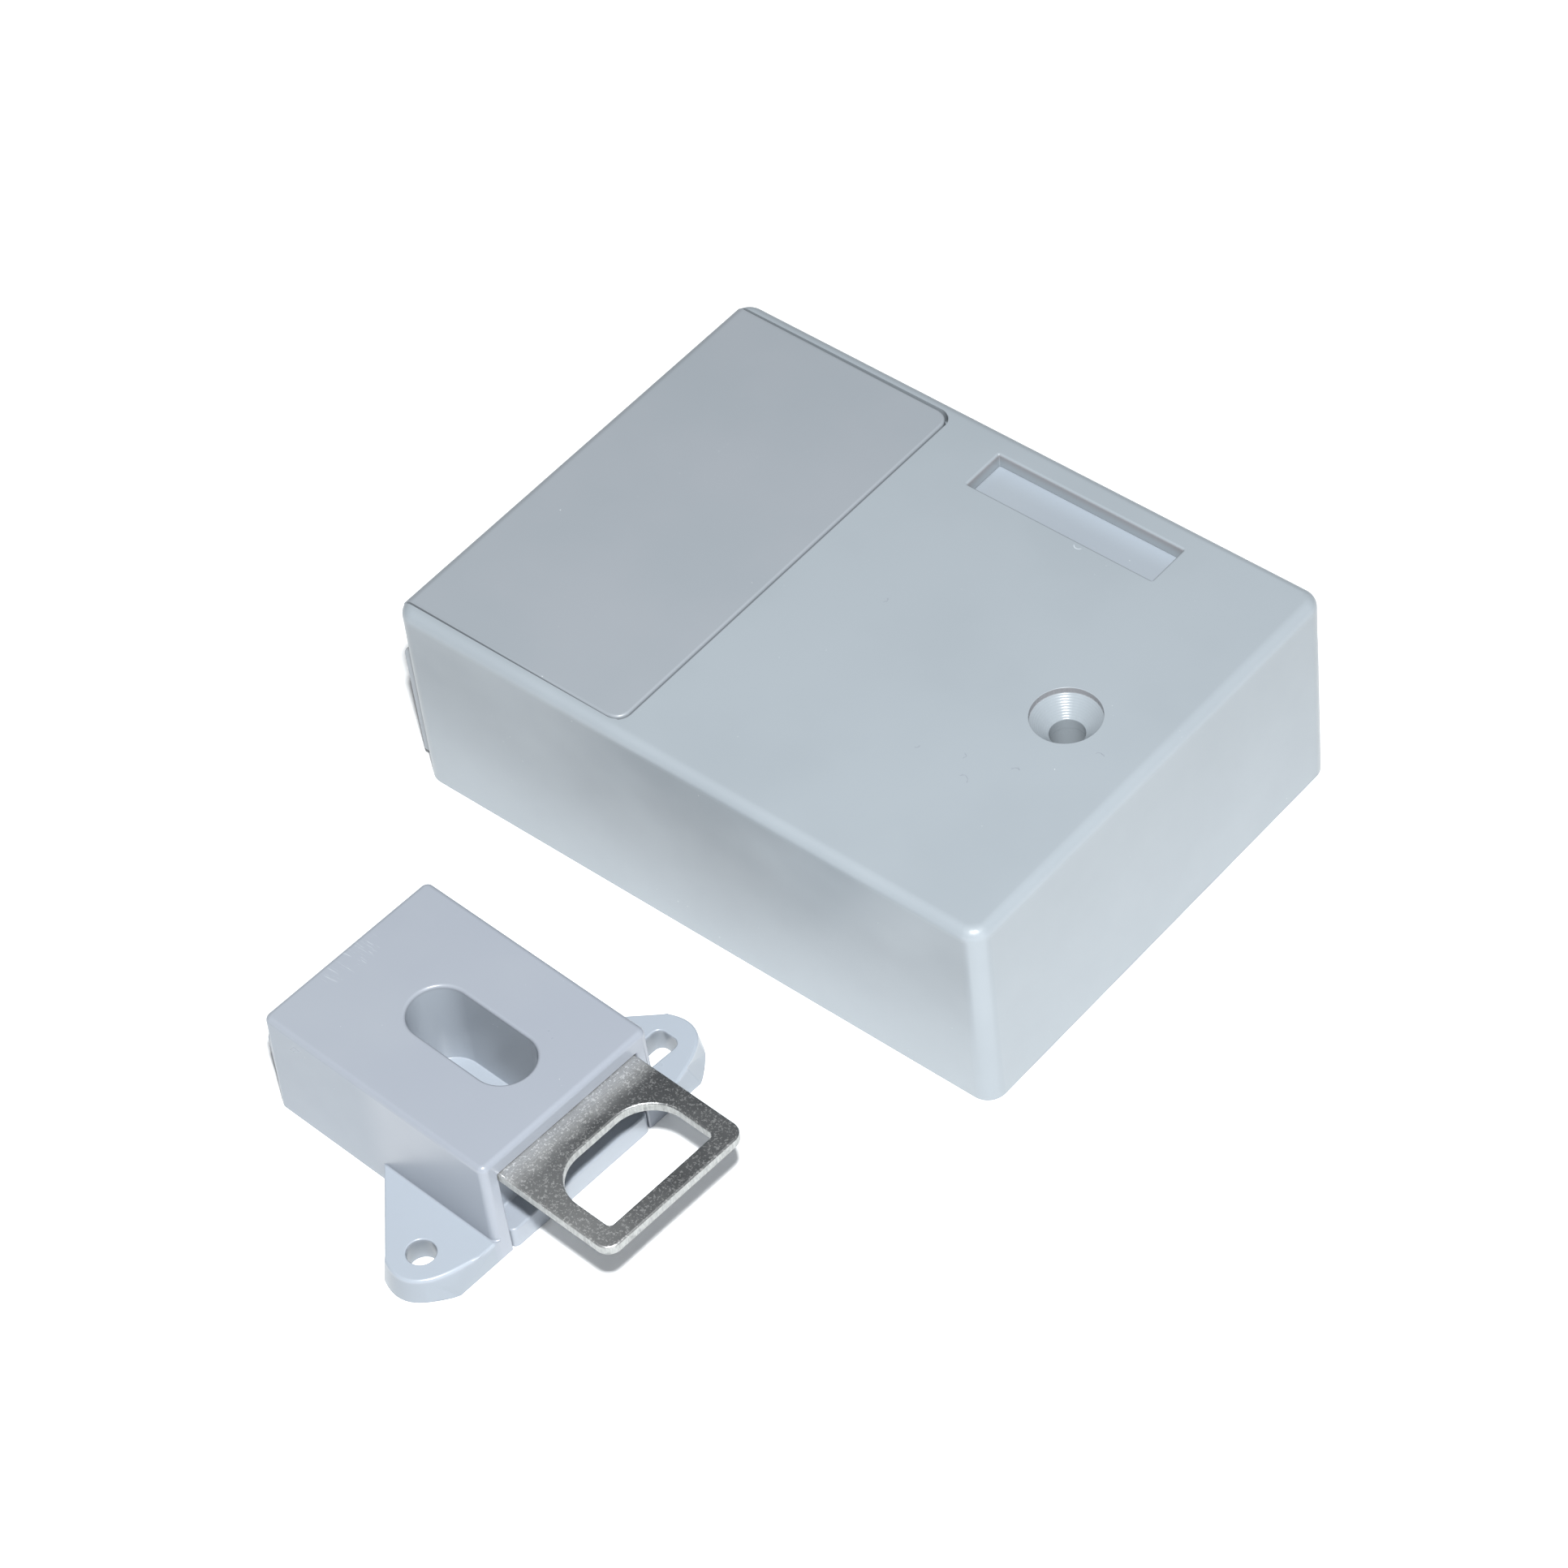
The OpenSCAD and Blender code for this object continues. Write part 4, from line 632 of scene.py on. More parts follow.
def keeper_side_painted_shade(place):
    """The long near wall, away from its ear: painted shade, a little darker than the top."""
    x, y, z = keeper_place(place).parts()
    before_ear = 1 - x.ease(18.0, 25.0) * 0.75
    return (1 - (y + keeper_mid).ease(0.25, 1.0)) * (1 - z.ease(18.2, 18.9)) * before_ear


def ear_glow(place):
    """The thin ears' tops, lighter because the pale table shines up through and around them."""
    x, y, z = keeper_place(place).parts()
    return z.ease(3.4, 3.9) * (1 - z.ease(4.15, 5.2)) * in_ears(y)


def ear_side_painted_shade(place):
    """The ears' upright sides: painted shade, darker than their tops."""
    x, y, z = keeper_place(place).parts()
    return (1 - z.ease(3.2, 3.8)) * in_ears(y)


def well_glow(place):
    """The well's walls, thin and lit from both sides."""
    x, y, z = keeper_place(place).parts()
    return in_well(x, y, (11.1, 11.5), (4.8, 5.2)) * (1 - z.ease(18.3, 18.9))


def top_scuffs(place):
    """Faint pale rub marks that run slantwise near the top's back edge."""
    x, y, z = keeper_place(place).parts()
    patch = (1 - (((x - 2.6) / 2.6) ** 2.0 + ((y + 1.0) / 6.0) ** 2.0).ease(0.3, 1.0)) * z.ease(18.9, 19.1)
    return place.cloud(0.7, 3.0, 0.6, (4.0, 0.4, 1.0)).ease(0.56, 0.70) * patch * 0.5


keeper_body, keeper_shade = tone(134, 139, 147), tone(131, 136, 145)
keeper_zones = ((keeper_side_painted_shade, tone(115, 123, 133)), (ear_glow, tone(140, 147, 156)),
                (ear_side_painted_shade, tone(124, 131, 139)), (well_glow, tone(144, 151, 160)),
                (top_scuffs, tone(170, 176, 182)))
keeper_finish = abs_finish("satin_keeper_abs", keeper_body, keeper_shade, gloss=0.30, zones=keeper_zones)
well_rim, ear_rim, ear_front_rim, ear_hole_rim, keeper_rim = 0.50, 0.42, 0.20, 0.22, 0.30
housing_rim, housing_top_rim = 0.14, 0.05
ear_corners, ear_corner_cut, ear_corner_steps = ((41.0, -11.8), (43.9, -7.4)), 2.1, 6
ear_free, ear_side_cuts, ear_smoothing, ear_reach, ear_lost = -2.5, 5, 40, 13.1, 0.49
ear_back, longest_side = 29, 1.2


def keeper_rims(middle):
    """A soft lip round the well, rounded ears and small rounds elsewhere."""
    x, y, z = to_keeper(middle).T
    past_middle = np.abs(y - keeper_wide / 2)
    well = (z > keeper_high - 0.1) & (np.abs(x - well_x) < 12) & (past_middle < 6)
    width = np.where(well, well_rim, np.where(z > keeper_high - 1.0, housing_top_rim, housing_rim))
    outside = (y < -0.3) | (y > keeper_wide + 0.3)
    beside_wall = (x > keeper_long - 0.4) | (past_middle < keeper_wide / 2 + 1.2)
    width = np.where(outside & (z > ear_top - 0.1), np.where(beside_wall, ear_front_rim, ear_rim), width)
    side = np.where(y < 0, 0.0, keeper_wide)
    hole = outside & (np.hypot(x - ear_hole_x, np.abs(y - side) - ear_hole_out) < ear_hole_clear)
    width = np.where(hole, ear_hole_rim, width)
    front = (x > keeper_long - 0.6) & ~outside & (z > 0.1) & (z < keeper_high - 1.0)
    return np.where(front, keeper_rim, width)


def rounded_ears(work):
    """Makes each ear's outline one smooth curve: its blunt corners are cut in arcs, long sides are divided,
    and each place of the outline then moves, many times, halfway to the mean of its two neighbours. The reach
    that this costs is given back, more the further out a place lies."""

    def own(vert):
        return to_keeper(np.array([vert.co[:]]) / MM)[0]

    def near_side(y):
        return y if y < keeper_wide / 2 else keeper_wide - y

    def on_outline(edge):
        one, other = own(edge.verts[0]), own(edge.verts[1])
        mid_x, mid_y = (one[0] + other[0]) / 2, near_side((one[1] + other[1]) / 2)
        return (abs(one[2] - other[2]) < 0.01 and mid_y < ear_free and mid_x > ear_back
                and np.hypot(mid_x - ear_hole_x, mid_y + ear_hole_out) > ear_hole_clear + 0.7
                and sum(abs(f.normal.z) < 0.5 for f in edge.link_faces) == 1)

    def on_corner(edge):
        one, other = own(edge.verts[0]), own(edge.verts[1])
        upright = np.hypot(*(one - other)[:2]) <= 0.5 and abs(one[2] - other[2]) >= 3
        if not upright or max(one[2], other[2]) > ear_top + 0.1:
            return False
        mid_x, mid_y = (one[0] + other[0]) / 2, near_side((one[1] + other[1]) / 2)
        return any(np.hypot(mid_x - x, mid_y - y) < 0.5 for x, y in ear_corners)

    corners = [e for e in work.edges if on_corner(e)]
    bmesh.ops.bevel(work, geom=corners, offset=ear_corner_cut * MM, offset_type="OFFSET",
                    segments=ear_corner_steps, profile=0.5, affect="EDGES", clamp_overlap=False)
    work.normal_update()
    long_sides = [e for e in work.edges if on_outline(e) and e.calc_length() > longest_side * MM]
    bmesh.ops.subdivide_edges(work, edges=long_sides, cuts=ear_side_cuts, use_grid_fill=True)
    work.normal_update()
    beside = {}
    for edge in work.edges:
        if on_outline(edge):
            one, other = edge.verts
            beside.setdefault(one, []).append(other)
            beside.setdefault(other, []).append(one)
    beside = {vert: both for vert, both in beside.items() if len(both) == 2}
    for _ in range(ear_smoothing):
        moved = {vert: vert.co * 0.5 + (both[0].co + both[1].co) * 0.25 for vert, both in beside.items()}
        for vert, place in moved.items():
            vert.co = place
    for vert in beside:
        place = own(vert)
        past = (ear_free - near_side(place[1])) / (ear_free + ear_reach)
        place[1] += np.sign(place[1] - keeper_wide / 2) * ear_lost * np.clip(past, 0, 1)
        vert.co = from_keeper(place[None])[0] * MM
    work.normal_update()


keeper = softened("keeper_housing", "keeper_cap", keeper_finish, keeper_rims, drafted, rounded_ears)


# Keeper insert
# The block inside the cap that clamps the tongue, with a lip that stands out in front and a back plate.
insert_body, insert_shade = tone(136, 142, 150), tone(133, 139, 148)
lip_top, lip_rim, insert_rim = 4.5, 0.35, 0.16


def well_floor_painted_light(place):
    """The floor of the well, where the cap is thin over the insert: painted light, lighter as the well's
    walls throw light down on it.
    """
    x, y, z = keeper_place(place).parts()
    return in_well(x, y, (11.0, 11.6), (4.8, 5.4)) * (1 - z.ease(14.9, 15.6))


insert_finish = abs_finish("pale_insert_abs", insert_body, insert_shade, gloss=0.34,
                           zones=((well_floor_painted_light, tone(144, 152, 161)),))
insert = softened("keeper_base", "keeper_insert", insert_finish,
                  lambda middle: np.where(middle[:, 2] < lip_top, lip_rim, insert_rim))


# Steel tongue
# Blanked from 1.5 mm stainless sheet: rolled-over upper rim, bright sheared edge, satin face with a finely
# brushed band beside the housing.
tongue_dark, tongue_light = (0.17, 0.175, 0.18, 1.0), (0.90, 0.90, 0.89, 1.0)
tongue_rim, tongue_under_rim, tongue_top, tongue_under = 0.36, 0.06, 16.2, 14.7
brush_start, brush_end, near_sheen_from, near_sheen_to = 46.0, 49.0, 4.0, -14.0


def tongue_face_finish():
    """Satin stainless: a fine sparkle in its relief with painted glints, strokes along the width, a lighter
    brushed band near the housing and a painted sheen towards the near side.
    """
    finish, place = finish_named("satin_tongue_steel")
    own = keeper_place(place)
    x, y, z = own.parts()
    strokes = own.cloud(0.22, 3.0, 0.6, (0.5, 9.0, 1))
    sparkle = own.cloud(0.38, 2.0, 0.75)
    painted_glints, patches = sparkle.ease(0.53, 0.63), own.cloud(9.0, 3.0).ease(0.35, 0.7)
    band = 1 - (x + own.cloud(2.0, 2.0) * 1.6).ease(brush_start, brush_end)
    near = 1 - y.ease(near_sheen_to, near_sheen_from)
    # Painted light in the colour: the glints are painted highlights and near is a painted sheen; the band and
    # patches are the steel's own.
    light = band * (strokes * 0.50 + 0.20) + painted_glints * 0.40 + patches * 0.12 + near * (1 - band) * 0.24
    surface = {"Base Color": light.lower(1.0).between(tongue_dark, tongue_light),
               "Metallic": 1 - (band * 0.11 + near * 0.05),
               "Roughness": 0.36 + strokes * 0.10 - band * 0.03}
    close_finish(own, surface, sparkle * 0.7 + strokes * band * 0.6, 0.03)
    return finish


def tongue_edge_finish():
    """The sheared edge: bright, with short upright tear marks."""
    finish, place = finish_named("sheared_tongue_edge")
    x, y, z = place.parts()
    tears = place.cloud(0.34, 3.0, 0.65, (1, 1, 4.0))
    low = 1 - z.ease(tongue_under + 0.5, tongue_top - 0.3)
    pits = place.cloud(0.9, 2.0, 0.6, (1, 1, 1.6)).ease(0.55, 0.72) * low
    light = tears.ease(0.3, 0.7).between(tone(162, 164, 163), tone(134, 136, 135))
    close_finish(place, {"Base Color": (pits * 0.6).between(light, tone(104, 106, 106)), "Metallic": 0.35,
                         "Roughness": 0.46}, tears, 0.03)
    return finish


tongue = softened("steel_tongue", "steel_tongue_blank", tongue_face_finish(),
                  lambda middle: np.where(middle[:, 2] > tongue_top - 0.05, tongue_rim, tongue_under_rim))
tongue.data.materials.append(tongue_edge_finish())
sheared = np.array([abs(f.normal.z) < 0.5 for f in tongue.data.polygons])
tongue.data.polygons.foreach_set("material_index", sheared.astype(np.int32))


# Battery holder and contact plates
# A black nylon tray on the base plate, with nickel-plated steel plates at the cells' ends. The plates' tabs
# pass through the far wall, where the battery leads are soldered on.


def refinished(node, finish):
    """Gives every slot of a CAD node this finish."""
    for slot in frame["nodes"][node].material_slots:
        slot.material = finish


def small_moulding(name, body, shade, rough=0.4, grain_mm=0.3):
    """A small moulding: two close tones in soft clouds, a fine grain and a little dust."""
    finish, place = finish_named(name)
    dust = place.cloud(0.5, 1.0).ease(0.76, 0.82) * 0.4
    colour = dust.between(place.cloud(6.0, 3.0).between(body, shade), tone(214, 216, 218))
    close_finish(place, {"Base Color": colour, "Roughness": place.cloud(3.0) * 0.12 + (rough - 0.06)},
                 place.cloud(grain_mm, 2.0), 0.006)
    return finish


def plated_steel(name, body, shade, rough=0.3, stretch=(1, 1, 1)):
    """Plated or drawn steel: strokes drawn out along stretch, and patches of tone."""
    finish, place = finish_named(name)
    strokes = place.cloud(0.3, 3.0, 0.6, stretch)
    colour = (strokes * 0.6 + place.cloud(4.0) * 0.4).between(body, shade)
    close_finish(place, {"Base Color": colour, "Metallic": 1.0, "Roughness": strokes * 0.15 + (rough - 0.07)},
                 strokes, 0.005)
    return finish


refinished("battery_holder", small_moulding("black_nylon", tone(34, 35, 37), tone(27, 28, 30), 0.5))
nickel = plated_steel("nickel_plate", tone(206, 203, 194), tone(180, 177, 168), 0.28, (1, 1, 6))
refinished("contact_plates", nickel)


# Cells
# Four bought cells in a film sleeve that is shrunk over both rims, with a steel button at one end, a grey
# paper ring round it and a dished steel base at the other. The sleeve is bare of print.


def ring_quads(rows, sides, loop=False):
    """The quads between each ring of a grid and the next; in a loop the last ring meets the first."""
    row, step = np.arange(rows if loop else rows - 1)[:, None], np.arange(sides)[None]
    below, above, after = row * sides, (row + 1) % rows * sides, (step + 1) % sides
    corners = np.broadcast_arrays(below + step, below + after, above + after, above + step)
    return np.stack(corners, -1).reshape(-1, 4)


def closed_rings(rings):
    """Rings of places, one row each, joined by quads; the first and the last close on their own middle."""
    rows, sides = rings.shape[:2]
    step, last = np.arange(sides), (rows - 1) * sides
    after = (step + 1) % sides
    start = np.stack((np.full(sides, rows * sides), after, step), 1)
    end = np.stack((np.full(sides, rows * sides + 1), last + step, last + after), 1)
    places = np.vstack((rings.reshape(-1, 3), rings[0].mean(0), rings[-1].mean(0)))
    return places, ring_quads(rows, sides).tolist() + start.tolist() + end.tolist()


def axes_across(along):
    """A direction, and two more that are square to it and to each other."""
    along = np.array(along, float)
    across = np.roll(along, 1)
    return along, across, np.cross(along, across)


def turned(profile, foot, along, sides=40):
    """Each (radius, height) of a profile runs a circle round an axis that starts at foot and goes along."""
    radius, height = np.array(profile, float).T
    along, across, up = axes_across(along)
    turn = 2 * pi * np.arange(sides) / sides
    ring = np.cos(turn)[:, None] * across + np.sin(turn)[:, None] * up
    return closed_rings(np.array(foot) + height[:, None, None] * along + radius[:, None, None] * ring)


def made_piece(name, parts, finish, body, crease=35.0):
    """One mesh of several closed parts in millimetres, smooth but for edges over the crease angle."""
    start = np.cumsum([0] + [len(places) for places, faces in parts])
    faces = [[corner + first for corner in face]
             for (places, part), first in zip(parts, start) for face in part]
    mesh = bpy.data.meshes.new(name)
    mesh.from_pydata((np.vstack([places for places, part in parts]) * MM).tolist(), [], faces)
    mesh.polygons.foreach_set("use_smooth", np.ones(len(mesh.polygons), bool))
    mesh.set_sharp_from_angle(angle=radians(crease))
    mesh.materials.append(finish)
    piece = placed(name, mesh)
    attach(piece, body)
    return piece


cell_profile = ((2.0, 0.35), (4.6, 0.35), (4.9, 0.1), (5.6, 0.0), (6.0, 0.12), (6.2, 0.3), (6.45, 0.22),
                (6.85, 0.3), (7.05, 0.6), (7.1, 1.0), (7.1, 24.0), (7.1, 48.4), (7.05, 48.8), (6.85, 49.1),
                (6.45, 49.18), (6.2, 49.1), (5.9, 48.95), (3.3, 48.95), (3.1, 49.3), (2.75, 49.4),
                (2.7, 50.2), (2.55, 50.42), (2.2, 50.5), (0.8, 50.5))
cell_end, cell_half_pitch, cells_x, cells_z = 22.0, 7.25, -31.445, 18.1
cell_middles = [(cells_x + side * cell_half_pitch, cells_z + level * cell_half_pitch, way)
                for side, level, way in ((-1, 1, -1), (-1, -1, 1), (1, -1, -1), (1, 1, 1))]


def sleeve_finish():
    """Glossy sleeve in slate grey, with a fine silver line near each end, and bare steel in the rims."""
    finish, place = finish_named("cell_sleeve_film")
    x, y, z = place.parts()
    reach = reach_from(abs(x - cells_x), abs(z - cells_z), (cell_half_pitch, cell_half_pitch))
    steel = 1 - reach.ease(6.15, 6.25)
    button_end = abs(y).ease(26.3, 26.6) * (1 - abs(y).ease(27.1, 27.2))
    paper = reach.ease(3.0, 3.1) * (1 - reach.ease(5.8, 5.9)) * button_end
    line = (1 - abs(abs(y) - 19.2).ease(0.25, 0.35)) * (1 - steel)
    film = place.cloud(9.0, 2.0).between(tone(52, 62, 74), tone(44, 53, 64))
    colour = steel.between(line.between(film, tone(190, 194, 198)), tone(205, 205, 202))
    surface = {"Base Color": paper.between(colour, tone(120, 122, 120)),
               "Metallic": (steel - paper).higher(0.0), "Roughness": place.cloud(1.2, 3.0) * 0.14 + 0.20}
    close_finish(place, surface, place.cloud(2.2, 3.0, 0.6, (1, 6, 1)), 0.02)
    return finish


cells = [turned(cell_profile, (x, -way * cell_end, z), (0, way, 0), 48) for x, z, way in cell_middles]
cell_pack = made_piece("cell_pack", cells, sleeve_finish(), "lock_unit", 50)
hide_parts("battery_cells")


# Contact springs
# Conical coils of nickel-plated spring wire, wide at the plate and narrow at the cell, with close end turns.


def tube(line, radius, sides, side_way):
    """Rings of this radius round a line, square to it. Each starts on the side that side_way, which is never
    along the line, points to."""
    ahead = np.gradient(line, axis=0)
    ahead /= np.linalg.norm(ahead, axis=1)[:, None]
    across = side_way - (side_way * ahead).sum(1)[:, None] * ahead
    across /= np.linalg.norm(across, axis=1)[:, None]
    up = np.cross(ahead, across)
    turn = 2 * pi * np.arange(sides) / sides
    ring = np.cos(turn)[:, None] * across[:, None] + np.sin(turn)[:, None] * up[:, None]
    return closed_rings(line[:, None] + radius * ring)


def wound(foot, along, radii, height, wire, turns, steps=24, sides=8):
    """A coil: the angle grows evenly, the radius goes evenly from the first to the last of radii, and the
    height grows as share - sin(2 pi share) / 2 pi x 0.8, so that the end turns lie close."""
    share = np.linspace(0, 1, int(turns * steps) + 1)[:, None]
    along, across, up = axes_across(along)
    angle = 2 * pi * turns * share
    outward = np.cos(angle) * across + np.sin(angle) * up
    climb = share - np.sin(2 * pi * share) / (2 * pi) * 0.8
    radius = radii[0] + (radii[1] - radii[0]) * share - wire / 2
    line = np.array(foot) + outward * radius + along * (wire / 2 + 0.02 + (height - wire - 0.04) * climb)
    return tube(line, wire / 2, sides, outward)


contact_finish = plated_steel("nickel_spring_wire", tone(208, 206, 198), tone(176, 174, 166), 0.24)
contact_high, contact_radii, contact_wire, contact_turns, plate_gap = 6.4, (3.3, 2.4), 0.6, 4.5, 0.06
coils = [wound((x, -way * (cell_end + contact_high + plate_gap), z), (0, way, 0), contact_radii, contact_high,
               contact_wire, contact_turns) for x, z, way in cell_middles]
contacts = made_piece("contact_coils", coils, contact_finish, "lock_unit", 70)
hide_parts("contact_springs")


# Ejector springs
# Two coils of hard-drawn wire with closed ends, on the base plate's pegs.
drawn_wire = plated_steel("drawn_spring_wire", tone(176, 177, 178), tone(140, 142, 145), 0.3)
spring_foot, spring_top, spring_radii, spring_wire, spring_turns = 2.55, 30.25, (2.5, 2.5), 0.6, 11
spring_long, ejector_travel = spring_top - spring_foot, 17.8
for side, spring_x in (("left", 3.76), ("right", 26.64)):
    foot = (spring_x, slot_middle[1], spring_foot)
    coil = wound(foot, (0, 0, 1), spring_radii, spring_long, spring_wire, spring_turns)
    spring = made_piece("ejector_spring_" + side, [coil], drawn_wire, "lock_unit", 70)
    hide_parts("ejector_springs")
    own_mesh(spring)


# Circuit board
# Fibreglass board with green solder mask, drawn tracks under it, bare pads round the screws and sawn edges.
track_runs = ((1.4, -13.5, 1.4, -9.0), (1.4, -13.5, 12.0, -13.5), (12.0, -30.0, 12.0, -13.5),
              (-2.0, 3.0, -2.0, 8.0), (-5.4, 8.0, -2.0, 8.0), (4.0, 2.0, 4.0, 7.0), (7.0, -2.0, 18.0, -2.0),
              (18.0, -6.0, 18.0, 6.0), (7.0, -5.0, 14.0, -5.0), (14.0, -9.5, 14.0, -5.0),
              (-8.4, -28.0, -8.4, -4.0), (-8.4, -4.0, -4.0, -4.0), (9.0, 10.0, 24.0, 10.0),
              (24.0, 10.0, 24.0, 18.0), (-1.0, -33.0, 20.0, -33.0), (26.8, -29.0, 26.8, 0.0))
track_half, pad_radius = 0.22, 2.4
board_screw_places = ((-8.05, -25.85), (-8.05, 21.65), (27.0, -32.45), (27.0, 21.65))


def board_finish():
    """Green mask; a track is where a place lies near one of the straight runs; tin rings round the screws."""
    finish, place = finish_named("green_circuit_board")
    x, y, z = place.parts()
    runs = []
    for x0, y0, x1, y1 in track_runs:
        along_x = (abs(x - (x0 + x1) / 2) - (x1 - x0) / 2).higher(0.0)
        along_y = (abs(y - (y0 + y1) / 2) - (y1 - y0) / 2).higher(0.0)
        runs.append(1 - along_x.higher(along_y).ease(track_half, track_half + 0.08))
    rings = [1 - ((x - pad_x) ** 2.0 + (y - pad_y) ** 2.0).ease(pad_radius ** 2, (pad_radius + 0.1) ** 2)
             for pad_x, pad_y in board_screw_places]
    tracks, pads = reduce(Strand.higher, runs), reduce(Strand.higher, rings)
    face = z.ease(6.15, 6.19) + (1 - z.ease(4.61, 4.65))
    mask = place.cloud(7.0, 2.0).between(tone(20, 84, 52), tone(15, 74, 45))
    colour = (tracks * face).between(mask, tone(44, 118, 72))
    colour = (pads * face).between(colour, tone(206, 206, 200))
    sawn = place.cloud(0.25, 3.0, 0.6, (1, 1, 5)).between(tone(176, 168, 118), tone(150, 142, 96))
    surface = {"Base Color": face.between(sawn, colour), "Metallic": pads * face,
               "Roughness": place.cloud(2.0, 2.0) * 0.12 + 0.26}
    close_finish(place, surface, tracks * 0.8 + place.cloud(0.3) * 0.2, 0.03)
    return finish


refinished("circuit_board", board_finish())


# Antenna coil
# Fifteen turns of enamelled copper wire, five side by side in three layers, wound on a former with round
# corners and glued to the base plate under the board.
coil_middle, coil_half, coil_corner, coil_wire = (9.475, -5.4), (14.225, 23.75), 4.0, 0.5
coil_across, coil_layers, coil_pitch, coil_layer_high, coil_foot = 5, 3, 0.52, 0.53, 2.66


def coil_turn(inset, height):
    """One turn: quarter circles round four corner middles, joined by straight runs, as a closed tube."""
    turn = (np.arange(4)[:, None] * pi / 2 + np.linspace(0, pi / 2, 7)).ravel()
    corner = np.repeat(np.arange(4) * pi / 2 + pi / 4, 7)
    around = 2 * pi * np.arange(8) / 8
    reach = coil_corner - inset + coil_wire / 2 * np.cos(around)
    middle_x = coil_middle[0] + np.sign(np.cos(corner)) * (coil_half[0] - coil_corner)
    middle_y = coil_middle[1] + np.sign(np.sin(corner)) * (coil_half[1] - coil_corner)
    level = height + coil_wire / 2 * np.sin(around)
    rings = np.stack(np.broadcast_arrays(middle_x[:, None] + np.cos(turn)[:, None] * reach,
                                         middle_y[:, None] + np.sin(turn)[:, None] * reach, level), -1)
    rows, sides = rings.shape[:2]
    return rings.reshape(-1, 3), ring_quads(rows, sides, loop=True)[:, ::-1].tolist()


enamelled = plated_steel("enamelled_copper", tone(196, 104, 58), tone(160, 80, 42), 0.26)
turns = [coil_turn(coil_wire / 2 + coil_pitch * i, coil_foot + coil_layer_high * j)
         for i in range(coil_across) for j in range(coil_layers)]
antenna = made_piece("antenna_winding", turns, enamelled, "lock_unit", 80)
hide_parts("antenna_coil")


# Chips
# Moulded black epoxy with tapered sides, on tinned legs bent down to the board, and small ceramic parts with
# tinned ends beside them.
board_top = 6.2
leg_radius, leg_reach, leg_high, leg_foot, leg_seat = 0.15, 0.78, 0.75, 0.12, 0.12


def moulded_body(middle, half, low, high, taper=0.16):
    """A box of five rings: out from a small foot, widest at half height and in again. Each ring is a rounded
    square, the places whose |x|^14 + |y|^14 is 1, stretched to the half lengths less the ring's inset."""
    waist = (low + high) / 2
    steps = ((taper, low), (0.0, waist - 0.05), (0.0, waist + 0.05), (taper, high - 0.06),
             (taper * 1.5, high))
    turn = 2 * pi * (np.arange(32) + 0.5) / 32
    square = np.stack((np.cos(turn), np.sin(turn)), 1)
    square /= (np.abs(square) ** 14).sum(1)[:, None] ** (1 / 14)
    rings = [np.column_stack((middle + square * (np.array(half) - 2 * inset), np.full(32, height)))
             for inset, height in steps]
    return closed_rings(np.stack(rings))


def bent_leg(start, out):
    """A square wire that leaves the body level, bends down and ends flat on its pad."""
    away = leg_reach * np.array([0.0, 0.35, 0.6, 0.75, 1.0])
    line = np.array([*start, board_top]) + away[:, None] * np.array([*out, 0.0])
    line[:, 2] += np.array([leg_high, leg_high, 0.45 * leg_high, leg_foot, leg_foot])
    return tube(line, leg_radius, 4, np.array([[-out[1], out[0], 0.0]] * len(line)))


epoxy = small_moulding("black_epoxy", tone(38, 39, 41), tone(31, 32, 34), 0.45, 0.2)
tin = plated_steel("tinned_legs", tone(206, 208, 210), tone(182, 184, 188), 0.3)
two_sided = ((1, 0), (-1, 0))
chips = (("controller", (1.425, -3.62), (4.2, 4.2), 7.8, 12, two_sided + ((0, 1), (0, -1))),
         ("reader", (5.45, 10.02), (2.0, 2.5), 7.7, 8, two_sided))
chip_legs = []
for name, middle, half, high, pins, sides in chips:
    body = moulded_body(middle, half, board_top + 0.1, high)
    chip = made_piece(name + "_body", [body], epoxy, "lock_unit")
    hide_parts(name + "_chip")
    for out in sides:
        for place in (np.arange(pins) - (pins - 1) / 2) * (2 * half[1] - 1.0) / pins:
            edge = np.array(out) * (np.array(half) - leg_seat) + place * np.array([-out[1], out[0]])
            chip_legs.append(bent_leg(middle + edge, out))
made_piece("chip_legs", chip_legs, tin, "lock_unit", 30)

part_middles = ((-6.2, -12.4), (-3.0, -12.4), (0.2, -15.6), (4.2, -12.0), (9.8, -0.4), (9.8, -7.2),
                (11.6, 7.6), (14.6, 7.6), (13.4, 12.4), (0.4, 5.2), (23.4, -22.0), (23.4, -19.6))
part_half, part_foot, part_high, part_taper, part_end = (0.8, 0.4), 0.02, 0.55, 0.02, 0.68
chip_parts = [moulded_body(middle, part_half, board_top + part_foot, board_top + part_high, part_taper)
              for middle in part_middles]


def chip_part_finish():
    """Dark ceramic with tinned ends: a band is where x, from a part's middle, is near the part's end."""
    finish, place = finish_named("chip_part_ceramic")
    x, y, z = place.parts()
    middles = dict.fromkeys(middle_x for middle_x, middle_y in part_middles)
    ends = [abs(abs(x - middle) - part_end) for middle in middles]
    band = 1 - reduce(Strand.lower, ends).ease(0.14, 0.18)
    ceramic = place.cloud(0.5).between(tone(60, 52, 44), tone(48, 42, 36))
    close_finish(place, {"Base Color": band.between(ceramic, tone(208, 208, 206)), "Metallic": band,
                         "Roughness": 0.36}, place.cloud(0.2), 0.005)
    return finish


made_piece("chip_parts", chip_parts, chip_part_finish(), "lock_unit")


# Buzzer, capacitor, sockets and switches
# Bought parts soldered to the board: a black sounder with its hole, a can in a dark sleeve with a scored top,
# two white sockets, the set switch with its white button and the switch that the ejector presses.
buzzer_middle, buzzer_top, buzzer_ring = (21.55, -9.55), 12.8, 0.5
capacitor_middle, capacitor_radius, capacitor_top = (22.36, 5.27), 2.65, 12.98


